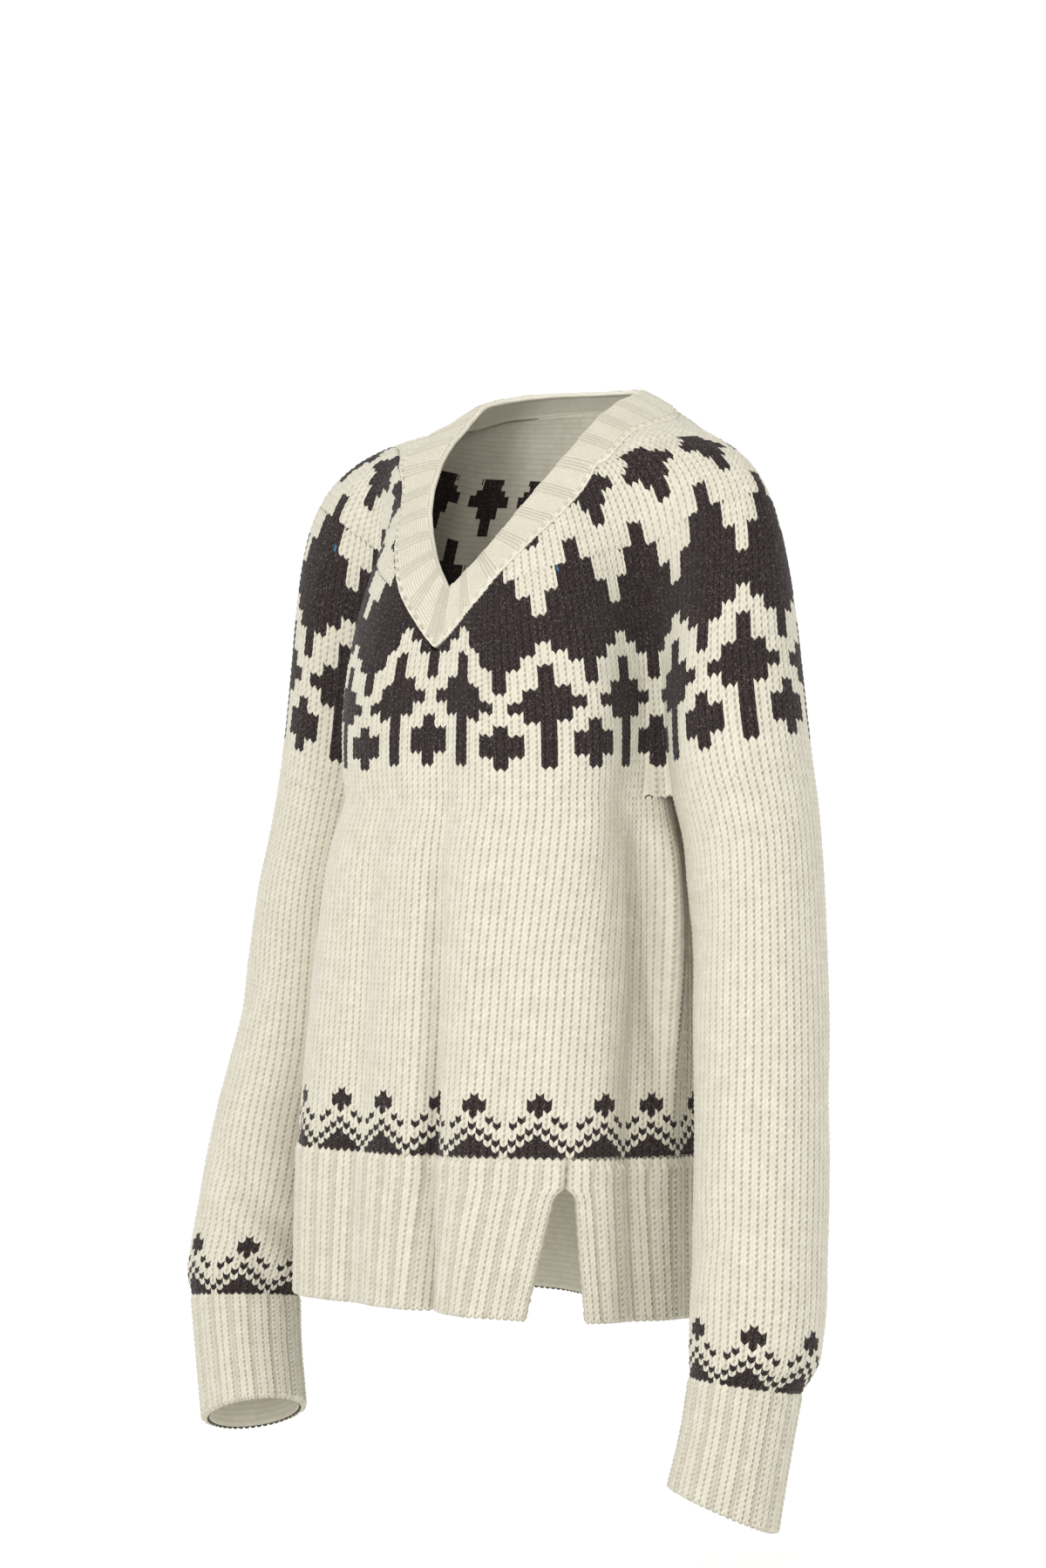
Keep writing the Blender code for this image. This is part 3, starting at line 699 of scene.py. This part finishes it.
def place_yoke(stitches, rows):
    """Points of the yoke, each wale's rows spaced evenly from its first row to the neck."""
    grid = yoke_grid(stitches, np.linspace(0.0, 1.0, 70))
    half, side = fold_stitch(stitches)
    quarter = BODY_STITCHES / 4
    edge = quarter - UNDERARM_STITCHES / 2
    over = YOKE_STITCHES / 4
    drop = (HEM_RIB_DEPTH - UNDERARM_DEPTH) / BODY_ROWS
    on_body = np.where(half < over, np.minimum(half, edge), half - 2 * over + 2 * quarter)
    arm = (half > edge) & (half < 2 * over - edge)
    below = []
    for share in (2.0, 1.0, 0.0):
        line = body_ring(on_body * side, UNDERARM_DEPTH + share * drop)
        sections = SLEEVE_SECTIONS["left"]
        turns = (over - half) * 2 * HALF_TURN / SLEEVE_STITCHES
        tube = sleeve_ring("left", turns, sections[0][0] + share * drop, sections)
        tube[:, 0] *= side
        line[arm] = tube[arm]
        below.append(line)
    below = np.array(below)
    below += grid[0] - below[-1]
    far = line_lengths(grid)[-1]
    return joined(below, grid, rows, row_lift(stitches), drop, yoke_pitch(stitches, far))


def place_sleeve(side):
    """The function that gives a sleeve's points, its 8 stitches under the arm closing up below.

    Its first rows lie on the yoke, where they rise towards the outside of the arm."""
    sections = SLEEVE_SECTIONS[side]
    count = SLEEVE_ROWS[side]
    top, bottom = sections[0][0], sections[-1][0]
    drop = (bottom - top) / count
    sign = -1 if side == "left" else 1
    half = CUFF_STITCHES / 2

    def place(stitches, rows):
        depths = np.linspace(bottom + drop, top, 140)
        fade = 1 - ease((depths - top) / drop, *SLEEVE_FADE)
        mid = np.clip(stitches, -half, half)
        below = []
        for depth, extra in zip(depths, fade):
            at = mid + (stitches - mid) * extra
            total = CUFF_STITCHES + UNDERARM_STITCHES * extra
            below.append(sleeve_ring(side, sign * at / total * 2 * HALF_TURN, depth, sections))
        below = np.array(below)
        under = np.abs(stitches) > half
        on_yoke = mid - sign * YOKE_STITCHES / 4
        upward = yoke_grid(on_yoke, np.linspace(0.0, 0.25, 16))
        rise = np.linspace(0.0, 0.03, 16)[:, None]
        upward[:, under] = below[-1][None, under] + np.array((0, 0, 1)) * rise[:, :, None]
        whole = line_lengths(yoke_grid(on_yoke, np.linspace(0.0, 1.0, 30)))[-1]
        lift = np.where(under, 0.0, row_lift(on_yoke))
        length = line_lengths(below[np.argmin(np.abs(depths - bottom)) :])[-1]
        above_pitch = np.where(under, drop, yoke_pitch(on_yoke, whole))
        return joined(below, upward, rows, lift, (length + lift) / count, above_pitch)

    return place


def place_cuff(side):
    sections = CUFF_SECTIONS[side]
    top, bottom = sections[0][0], sections[-1][0]
    sign = -1 if side == "left" else 1

    def place(stitches, rows):
        depths = np.linspace(top - 0.012, bottom, 40)
        turns = sign * stitches / CUFF_STITCHES * 2 * HALF_TURN
        grid = np.array([sleeve_ring(side, turns, d, sections) for d in depths])
        return along(grid, depths, bottom - rows * (bottom - top) / CUFF_ROWS)

    return place


def place_hem(first, last, shifts):
    def place(stitches, rows):
        top, bottom = HEM_RIB_DEPTH, HEM_DEPTH
        depths = np.linspace(top - 0.012, bottom, 60)
        grid = hem_grid(stitches, first, last, *shifts, depths)
        return along(grid, depths, bottom - rows * (bottom - top) / HEM_ROWS)

    return place


def rib_height(stitches):
    """Ribs of two raised stitches and a low one."""
    phase = np.mod(stitches, RIB_STITCHES) / RIB_STITCHES
    inside = np.abs(phase - 0.5)
    return RIB_HEIGHT * (1 - ease(inside, *RIB_EDGE))


def plain(stitch, row):
    return np.zeros(np.broadcast(stitch, row).shape, bool)


def yoke_dark(per_repeat):
    """The chart of the yoke's dark stitches, for a strip with that many stitches in a repeat."""

    def dark(stitch, row):
        found = plain(stitch, row)
        for axis, first, last, half in YOKE_CHART:
            centre = axis * per_repeat / 2
            away = (stitch + 0.5 - centre + per_repeat / 2) % per_repeat - per_repeat / 2
            rows = (row + 1 >= first) & (row + 1 <= last)
            found |= (np.abs(away) < half) & rows
        return found

    return dark


def band_dark(bottom, centre):
    """The chart of a band that starts at a bottom row, a motif centred on a stitch."""
    chart = np.array([[mark == "X" for mark in line] for line in BAND_CHART])

    def dark(stitch, row):
        at = (stitch - centre + BAND_MIDDLE) % BAND_REPEAT
        line = row - bottom
        inside = (line >= 0) & (line < BAND_ROWS)
        return inside & chart[np.clip(line, 0, BAND_ROWS - 1), at]

    return dark


def wool_material(name, fibre_distance=FIBRE_DISTANCE):
    """Knitted wool: two yarns picked by the stitch's own colour, with flecks, fibres and fuzz, each
    darkened by a random tone and by painted shade.
    """
    made = bpy.data.materials.new(name)
    made.use_nodes = True
    tree = made.node_tree
    nodes, links = tree.nodes, tree.links
    shader = nodes["Principled BSDF"]
    shader.inputs["Roughness"].default_value = ROUGHNESS
    shader.inputs["Sheen Weight"].default_value = SHEEN
    shader.inputs["Sheen Roughness"].default_value = SHEEN_ROUGHNESS
    shader.inputs["Specular IOR Level"].default_value = SPECULAR
    mark = nodes.new("ShaderNodeAttribute")
    mark.attribute_name = "yarn"
    yarn_and_painted_shade_channels = nodes.new("ShaderNodeSeparateColor")
    links.new(mark.outputs["Color"], yarn_and_painted_shade_channels.inputs["Color"])
    place = nodes.new("ShaderNodeTexCoord")

    def noise(scale, detail):
        made_noise = nodes.new("ShaderNodeTexNoise")
        made_noise.inputs["Scale"].default_value = scale
        made_noise.inputs["Detail"].default_value = detail
        links.new(place.outputs["Object"], made_noise.inputs["Vector"])
        return made_noise.outputs["Fac"]

    def ramp(scale, detail, low, high):
        made_ramp = nodes.new("ShaderNodeMapRange")
        made_ramp.inputs["From Min"].default_value = low
        made_ramp.inputs["From Max"].default_value = high
        links.new(noise(scale, detail), made_ramp.inputs["Value"])
        return made_ramp.outputs["Result"]

    def mix(share, a, b):
        made_mix = nodes.new("ShaderNodeMix")
        made_mix.data_type = "RGBA"
        links.new(share, made_mix.inputs["Factor"])
        for value, socket in ((a, made_mix.inputs["A"]), (b, made_mix.inputs["B"])):
            if isinstance(value, tuple):
                socket.default_value = value + (1.0,)
            else:
                links.new(value, socket)
        return made_mix.outputs["Result"]

    cream = mix(ramp(*CREAM_NOISE), YARN_CREAM, YARN_SHADE)
    # The green mark, a random tone plus painted shade in the hollows, darkens the cream
    cream = mix(yarn_and_painted_shade_channels.outputs["Green"], cream, CREAM_TONE_AND_PAINTED_SHADE)
    tweed = mix(ramp(*BROWN_NOISE), YARN_DARK, YARN_BROWN)
    tweed = mix(ramp(*GREY_NOISE), tweed, YARN_GREY)
    # The same green mark, a random tone plus painted shade in the hollows, darkens the tweed
    tweed = mix(yarn_and_painted_shade_channels.outputs["Green"], tweed, TWEED_TONE_AND_PAINTED_SHADE)
    tweed = mix(yarn_and_painted_shade_channels.outputs["Blue"], tweed, YARN_NEP)
    colour = mix(yarn_and_painted_shade_channels.outputs["Red"], cream, tweed)
    links.new(colour, shader.inputs["Base Color"])
    bump = nodes.new("ShaderNodeBump")
    bump.inputs["Strength"].default_value = FIBRE_STRENGTH
    bump.inputs["Distance"].default_value = fibre_distance
    links.new(noise(*FIBRE_NOISE), bump.inputs["Height"])
    links.new(bump.outputs["Normal"], shader.inputs["Normal"])
    return made


def add_mesh(name, points, faces, yarn, finish, painted_shade=None):
    """A piece from its points, its faces, each face's yarn marks and each point's painted shade."""
    data = bpy.data.meshes.new(name)
    data.vertices.add(len(points))
    data.vertices.foreach_set("co", points.astype(np.float32).ravel())
    data.loops.add(faces.size)
    data.loops.foreach_set("vertex_index", faces.astype(np.int32).ravel())
    data.polygons.add(len(faces))
    data.polygons.foreach_set("loop_start", np.arange(0, faces.size, 4, dtype=np.int32))
    data.update(calc_edges=True)
    # Red picks the dark yarn, green holds a random tone and painted shade, blue the neps
    marks = data.color_attributes.new("yarn", "FLOAT_COLOR", "CORNER")
    yarn_and_painted_shade = np.column_stack((np.repeat(yarn, 4, axis=0), np.ones(faces.size)))
    # Each point's painted shade is added to the green mark
    if painted_shade is not None:
        yarn_and_painted_shade[:, 1] += painted_shade.ravel()[faces.ravel()]
    marks.data.foreach_set("color", yarn_and_painted_shade.astype(np.float32).ravel())
    data.materials.append(finish)
    data.shade_smooth()
    made = bpy.data.objects.new(name, data)
    bpy.context.scene.collection.objects.link(made)
    return made


def grid_faces(rows, columns, closed, round_rows=False):
    """Corner numbers of a grid's faces, facing out, with each face's row and column."""
    lines = np.arange(rows if round_rows else rows - 1)
    i, j = np.meshgrid(lines, np.arange(columns if closed else columns - 1), indexing="ij")
    k = (j + 1) % columns
    up = (i + 1) % rows
    faces = np.stack((i * columns + j, i * columns + k, up * columns + k, up * columns + j), -1)
    return faces.reshape(-1, 4), i.ravel(), j.ravel()


def yarn_marks(dark, stitch, row, leg=None):
    """Marks for each face: dark or cream, a tone of its own, and a few bright neps on one leg."""
    is_dark = dark(stitch, row).astype(float)
    spread = random.random((stitch.max() - stitch.min() + 1, row.max() - row.min() + 1, 2))
    tone = spread[stitch - stitch.min(), row - row.min()]
    nep = (tone[:, 1] < NEP_SHARE) * is_dark * (0 if leg is None else leg == 1)
    return np.column_stack((is_dark, tone[:, 0] * TONE_SPREAD, nep))


def side_rims(points, out, painted_shade, extra):
    """Adds a turned-in, wavy column of points at each open side of a piece."""
    wave = np.sin(np.arange(len(points)) * HALF_TURN / 4) ** 2
    reach = (RIM + EDGE_WAVE * wave)[:, None]
    sides = []
    for edge, inner in ((0, 1), (-1, -2)):
        away = points[:, edge] - points[:, inner]
        away /= np.linalg.norm(away, axis=1)[:, None] + 1e-12
        facing = np.concatenate((out[:extra, edge], out[:, edge]))
        sides.append((points[:, edge] + away * reach - facing * RIB_WALL * RIM_TURN)[:, None])
    points = np.concatenate((sides[0], points, sides[1]), axis=1)
    return points, np.column_stack((painted_shade[:, :1], painted_shade, painted_shade[:, -1:]))


def cut_rows(limit, columns):
    """The row that cuts each wale off, as one line of values."""
    return limit(columns)[None, :] if limit else np.full((1, len(columns)), NO_LIMIT)


def knit(
    name, place, span, rows, dark, finish, closed=True, limit=None, ribs=None, tuck="", rim=False
):
    """A piece of stitches: its span is the first and last stitch, its rows the lowest and highest.

    A limit gives the row that cuts each wale off. Tuck names the end drawn in under another."""
    first, last = span
    low, high = rows
    columns = np.arange(first * COLUMNS, last * COLUMNS + (0 if closed else 1)) / COLUMNS
    steps = np.arange(low * 2, high * 2 + 1) / 2.0
    lean = LEG_RISE * (np.abs(columns % 1 - 0.5) * 2 - 0.5)
    at = steps[:, None] + lean[None, :]
    top = cut_rows(limit, columns)
    base = place(columns, np.minimum(at, top))
    out = normals(base, closed)
    form = np.array(STITCH_FORM)
    quarter = np.round(columns * COLUMNS).astype(int) % COLUMNS
    height = RELIEF * form[np.arange(len(steps)) % 2][:, quarter]
    # Painted shade in the low places of each stitch
    painted_shade = np.array(PAINTED_STITCH_SHADE)[np.arange(len(steps)) % 2][:, quarter]
    if ribs:
        raised = ribs(columns)[None, :]
        height = height + raised
        # Painted shade in the rib's low wale
        painted_shade = painted_shade + PAINTED_RIB_SHADE * (1 - raised / RIB_HEIGHT)
    if tuck:
        from_end = steps - low if tuck == "low" else high - steps
        drawn = (1 - ease(from_end, *TUCK_ROWS))[:, None]
        height = height * (1 - drawn) - STRIP_TUCK * drawn
    points = base + out * height[:, :, None] + random.normal(0, JITTER, base.shape)
    if rim:
        turned = base[0] - out[0] * RIB_WALL / 2 - np.array((0, 0, 1)) * RIM
        points = np.concatenate((turned[None], points))
        at = np.vstack((at[:1], at))
        steps = np.concatenate((steps[:1], steps))
        painted_shade = np.vstack((painted_shade[:1], painted_shade))
    if not closed:
        points, painted_shade = side_rims(points, out, painted_shade, int(rim))
        columns = np.concatenate((columns[:1], columns, columns[-1:]))
        at = np.column_stack((at[:, :1], at, at[:, -1:]))
        top = np.column_stack((top[:, :1], top, top[:, -1:]))
    faces, i, j = grid_faces(len(steps), len(columns), closed)
    keep = (at < top)[i, j]
    faces, i, j = faces[keep], i[keep], j[keep]
    stitch = np.floor(columns[j] + 1e-6).astype(int)
    row = np.floor(steps[i] + 1e-6).astype(int)
    leg = np.round(columns[j] * COLUMNS).astype(int) % COLUMNS
    marks = yarn_marks(dark, stitch, row, leg)
    return add_mesh(name, points.reshape(-1, 3), faces, marks, finish, painted_shade)


def reverse_side(name, place, span, rows, dark, finish, closed=True, limit=None, wall=WALL):
    """The inside of a piece, a face for each stitch."""
    first, last = span
    low, high = rows
    columns = np.arange(first, last + (0 if closed else 1)).astype(float)
    steps = np.arange(low * 2, high * 2 + 1) / 2.0
    at = np.repeat(steps[:, None], len(columns), axis=1)
    top = cut_rows(limit, columns)
    base = place(columns, np.minimum(at, top))
    raised = np.repeat((np.arange(len(steps)) % 2)[:, None], len(columns), axis=1)
    points = base - normals(base, closed) * (wall + PURL_RELIEF * raised)[:, :, None]
    faces, i, j = grid_faces(len(steps), len(columns), closed)
    keep = (at < top)[i, j]
    faces, i, j = faces[keep][:, ::-1], i[keep], j[keep]
    stitch = np.floor(columns[j] + 1e-6).astype(int)
    row = np.floor(steps[i] + 1e-6).astype(int)
    marks = yarn_marks(dark, stitch, row)
    # Painted shade on the reverse's low rows
    return add_mesh(name, points.reshape(-1, 3), faces, marks, finish, PAINTED_PURL_SHADE * (1 - raised))


def settle(piece, node, with_pieces=()):
    for made in (piece, *with_pieces):
        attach(made, "root")
        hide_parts(node)


def add_body(wool, inside):
    bottom = UNDERARM_ROW - BODY_ROWS
    dark = band_dark(bottom, 4)
    span, rows = (0, BODY_STITCHES), (bottom, UNDERARM_ROW)
    piece = knit("body_knit", place_body, span, rows, dark, wool)
    back = reverse_side("body_reverse", place_body, span, rows, dark, inside)
    settle(piece, "body", (back,))


def scaled(place, per_repeat):
    """A place function for a strip of the yoke with fewer stitches in a repeat."""
    return lambda stitches, rows: place(stitches * FULL_REPEAT / per_repeat, rows)


def add_yoke(wool, inside):
    for number, (low, high, per_repeat) in enumerate(YOKE_STRIPS):
        count = per_repeat * YOKE_REPEATS
        place = scaled(place_yoke, per_repeat)
        limit = lambda stitches, share=FULL_REPEAT / per_repeat: neck_row(stitches * share)
        dark = yoke_dark(per_repeat)
        span, rows = (-count // 2, count // 2), (low - (number > 0), high)
        tuck = "low" if number else ""
        named = f"yoke_knit_{number + 1}"
        piece = knit(named, place, span, rows, dark, wool, limit=limit, tuck=tuck)
        named = f"yoke_reverse_{number + 1}"
        back = reverse_side(named, place, span, rows, dark, inside, limit=limit)
        settle(piece, "yoke", (back,))


def add_sleeve(side, wool, inside):
    count = SLEEVE_ROWS[side]
    bottom = UNDERARM_ROW - count
    half = SLEEVE_STITCHES // 2
    place = place_sleeve(side)
    dark = band_dark(bottom, 0)
    span, rows = (-half, half), (bottom, UNDERARM_ROW)
    piece = knit(f"sleeve_{side}_knit", place, span, rows, dark, wool)
    back = reverse_side(f"sleeve_{side}_reverse", place, span, rows, dark, inside)
    settle(piece, f"sleeve_{side}", (back,))


def add_cuff(side, wool, inside):
    place = place_cuff(side)
    span, rows = (0, CUFF_STITCHES), (0, CUFF_ROWS + 1)
    piece = knit(
        f"cuff_{side}_knit", place, span, rows, plain, wool, ribs=rib_height, tuck="high", rim=True
    )
    back = reverse_side(f"cuff_{side}_reverse", place, span, rows, plain, inside, wall=RIB_WALL)
    settle(piece, f"cuff_{side}", (back,))


def moved(place, start):
    """A place function whose stitches are counted from another one's start."""
    return lambda stitches, rows: place(stitches + start, rows)


def add_hem(wool, inside):
    half = FRONT_PANEL_STITCHES // 2
    back_stitches = BODY_STITCHES - FRONT_PANEL_STITCHES
    spare = (back_stitches % RIB_STITCHES) / 2
    front = (SLIT_SHIFT["front_right"], SLIT_SHIFT["front_left"])
    back = (SLIT_SHIFT["back_left"], SLIT_SHIFT["back_right"])
    panels = (
        ("front", -half, FRONT_PANEL_STITCHES, front),
        ("back", half + spare, back_stitches - 2 * spare, back),
    )
    for name, first, count, shifts in panels:
        place = moved(place_hem(first, first + count, shifts), first)
        span, rows = (0, int(count)), (0, HEM_ROWS + 1)
        piece = knit(
            f"hem_{name}_knit", place, span, rows, plain, wool,
            closed=False, ribs=rib_height, tuck="high", rim=True,
        )
        inner = reverse_side(
            f"hem_{name}_reverse", place, span, rows, plain, inside, closed=False, wall=RIB_WALL
        )
        settle(piece, f"hem_rib_{name}", (inner,))


def band_places(count):
    """Places round the neckband as yoke stitches, evenly spaced, from the point of the V."""
    fine = np.linspace(-YOKE_STITCHES / 2, YOKE_STITCHES / 2, 1921)
    far = lengths(band_grid(fine, (0.5,))[0])
    zero = np.interp(0.0, fine, far)
    place = (np.arange(count) / count * far[-1] + zero) % far[-1]
    return np.interp(place, far, fine)


def add_neckband(fine):
    """The neckband: fine wales along it, crossed by groups of ridges, folded over its free edge."""
    per_panel = 2 * BAND_PANEL_ROWS
    total = BAND_PANELS * per_panel
    stitches = band_places(total)
    mark = np.arange(total) % per_panel
    mirror = np.where(np.arange(total) < total // 2, mark, per_panel - 1 - mark)
    across = np.linspace(0.0, 1.0, BAND_WALES * 2 + 1)
    base = band_grid(stitches, across)
    out = normals(base, True)
    lift = BAND_LIFT * np.interp(across, BAND_ACROSS, BAND_OUT)
    near_point = np.exp(-np.abs(stitches) / POINT_REACH)
    under = near_point[None, :] * (1 - ease(across, 0.0, POINT_SHARE))[:, None]
    base = base + np.array((0.0, 0.0, 1.0)) * (POINT_BLUNT * under)[:, :, None]
    wale = np.where(np.arange(len(across)) % 2 == 1, 1.0, 0.0)
    ridge_zone = mirror < 2 * BAND_RIDGES
    ridge = np.where(ridge_zone, mirror % 2, 0.0)
    flat = np.where(ridge_zone, RIDGE_FLAT, 1.0)
    height = RIDGE_HEIGHT * ridge[None, :] + FINE_RELIEF * wale[:, None] * flat[None, :]
    # Painted shade in the valleys between the fine wales and between the ridges
    painted_shade = PAINTED_FINE_SHADE * (1 - wale[:, None]) * flat[None, :]
    painted_shade = painted_shade + PAINTED_RIDGE_SHADE * (ridge_zone - ridge)[None, :]
    stitched = np.where(np.arange(total) % SEAM_PITCH < SEAM_PITCH / 2, 1.0, SEAM_REST)
    height[2] = -SEAM_DEPTH * stitched
    height[3] = -SEAM_DEPTH * SEAM_NEXT * stitched
    # No painted shade on the sewn edge's first two rows, painted shade in the seam's holes on the
    # next two
    painted_shade[:2] = 0.0
    painted_shade[2] = PAINTED_SEAM_SHADE * stitched
    painted_shade[3] = PAINTED_SEAM_SHADE * SEAM_NEXT * stitched
    outer = base + out * (lift[:, None] + height)[:, :, None]
    inner = base - out * (BAND_WALL - lift)[:, None, None]
    fold = outer[-1] - outer[-4]
    fold /= np.linalg.norm(fold, axis=1)[:, None]
    rims = []
    for share, reach in BAND_FOLD:
        rims.append(outer[-1] * (1 - share) + inner[-1] * share + fold * reach * BAND_ROUND)
    loop = np.concatenate((outer, rims, inner[::-2]))
    loop = loop + random.normal(0, JITTER * 0.5, loop.shape)
    # Painted shade for each point of the neckband, none on the fold and the inside
    depth = np.concatenate((painted_shade, np.zeros((len(loop) - len(painted_shade), total))))
    faces, _, _ = grid_faces(len(loop), total, True, round_rows=True)
    tone = random.random((len(loop), total))
    none = np.zeros(len(faces))
    marks = np.column_stack((none, tone.ravel() * TONE_SPREAD, none))
    piece = add_mesh("neckband_knit", loop.reshape(-1, 3), faces, marks, fine, depth)
    settle(piece, "neckband")


def add_camera():
    turn = np.radians(CAMERA_TURN)
    back = np.array((np.sin(turn), -np.cos(turn), 0.0))
    side = np.array((np.cos(turn), np.sin(turn), 0.0))
    data = bpy.data.cameras.new("camera")
    data.lens = CAMERA_LENS
    data.dof.use_dof = False
    data.clip_end = CAMERA_END
    made = bpy.data.objects.new("camera", data)
    bpy.context.scene.collection.objects.link(made)
    level = np.array((0, 0, CAMERA_HEIGHT))
    made.location = back * CAMERA_DISTANCE + side * CAMERA_SIDE + level
    made.rotation_euler = (np.pi / 2, 0.0, turn)
    bpy.context.scene.camera = made


def add_studio():
    world = bpy.context.scene.world or bpy.data.worlds.new("world")
    bpy.context.scene.world = world
    world.use_nodes = True
    tree = world.node_tree
    background = tree.nodes["Background"]
    background.inputs["Color"].default_value = WORLD_COLOUR
    background.inputs["Strength"].default_value = WORLD_STRENGTH
    bpy.context.scene.view_settings.view_transform = "Standard"
    data = bpy.data.meshes.new("floor")
    half = FLOOR_SIZE / 2
    corners = [(-half, -half, 0), (half, -half, 0), (half, half, 0), (-half, half, 0)]
    data.from_pydata(corners, [], [(0, 1, 2, 3)])
    floor = bpy.data.objects.new("floor", data)
    floor.location.z = FLOOR_LEVEL
    bpy.context.scene.collection.objects.link(floor)
    pale = bpy.data.materials.new("pale_floor")
    pale.use_nodes = True
    shader = pale.node_tree.nodes["Principled BSDF"]
    shader.inputs["Base Color"].default_value = FLOOR_COLOUR
    shader.inputs["Roughness"].default_value = 1.0
    data.materials.append(pale)
    for name, place, size, power in LIGHTS:
        light = bpy.data.lights.new(name, "AREA")
        light.size = size
        light.energy = power
        lamp = bpy.data.objects.new(name, light)
        lamp.location = place
        aim = np.array(LIGHT_AIM) - np.array(place)
        tilt = np.arctan2(np.hypot(aim[0], aim[1]), -aim[2])
        lamp.rotation_euler = (tilt, 0.0, np.arctan2(-aim[0], aim[1]))
        bpy.context.scene.collection.objects.link(lamp)


def main():
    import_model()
    wool = wool_material("knitted_wool")
    inside = wool_material("knitted_wool_reverse", REVERSE_FIBRE_DISTANCE)
    fine = wool_material("fine_knitted_wool")
    add_yoke(wool, inside)
    add_body(wool, inside)
    for side in ("left", "right"):
        add_sleeve(side, wool, inside)
        add_cuff(side, wool, inside)
    add_hem(wool, inside)
    add_neckband(fine)
    add_studio()
    add_camera()


main()
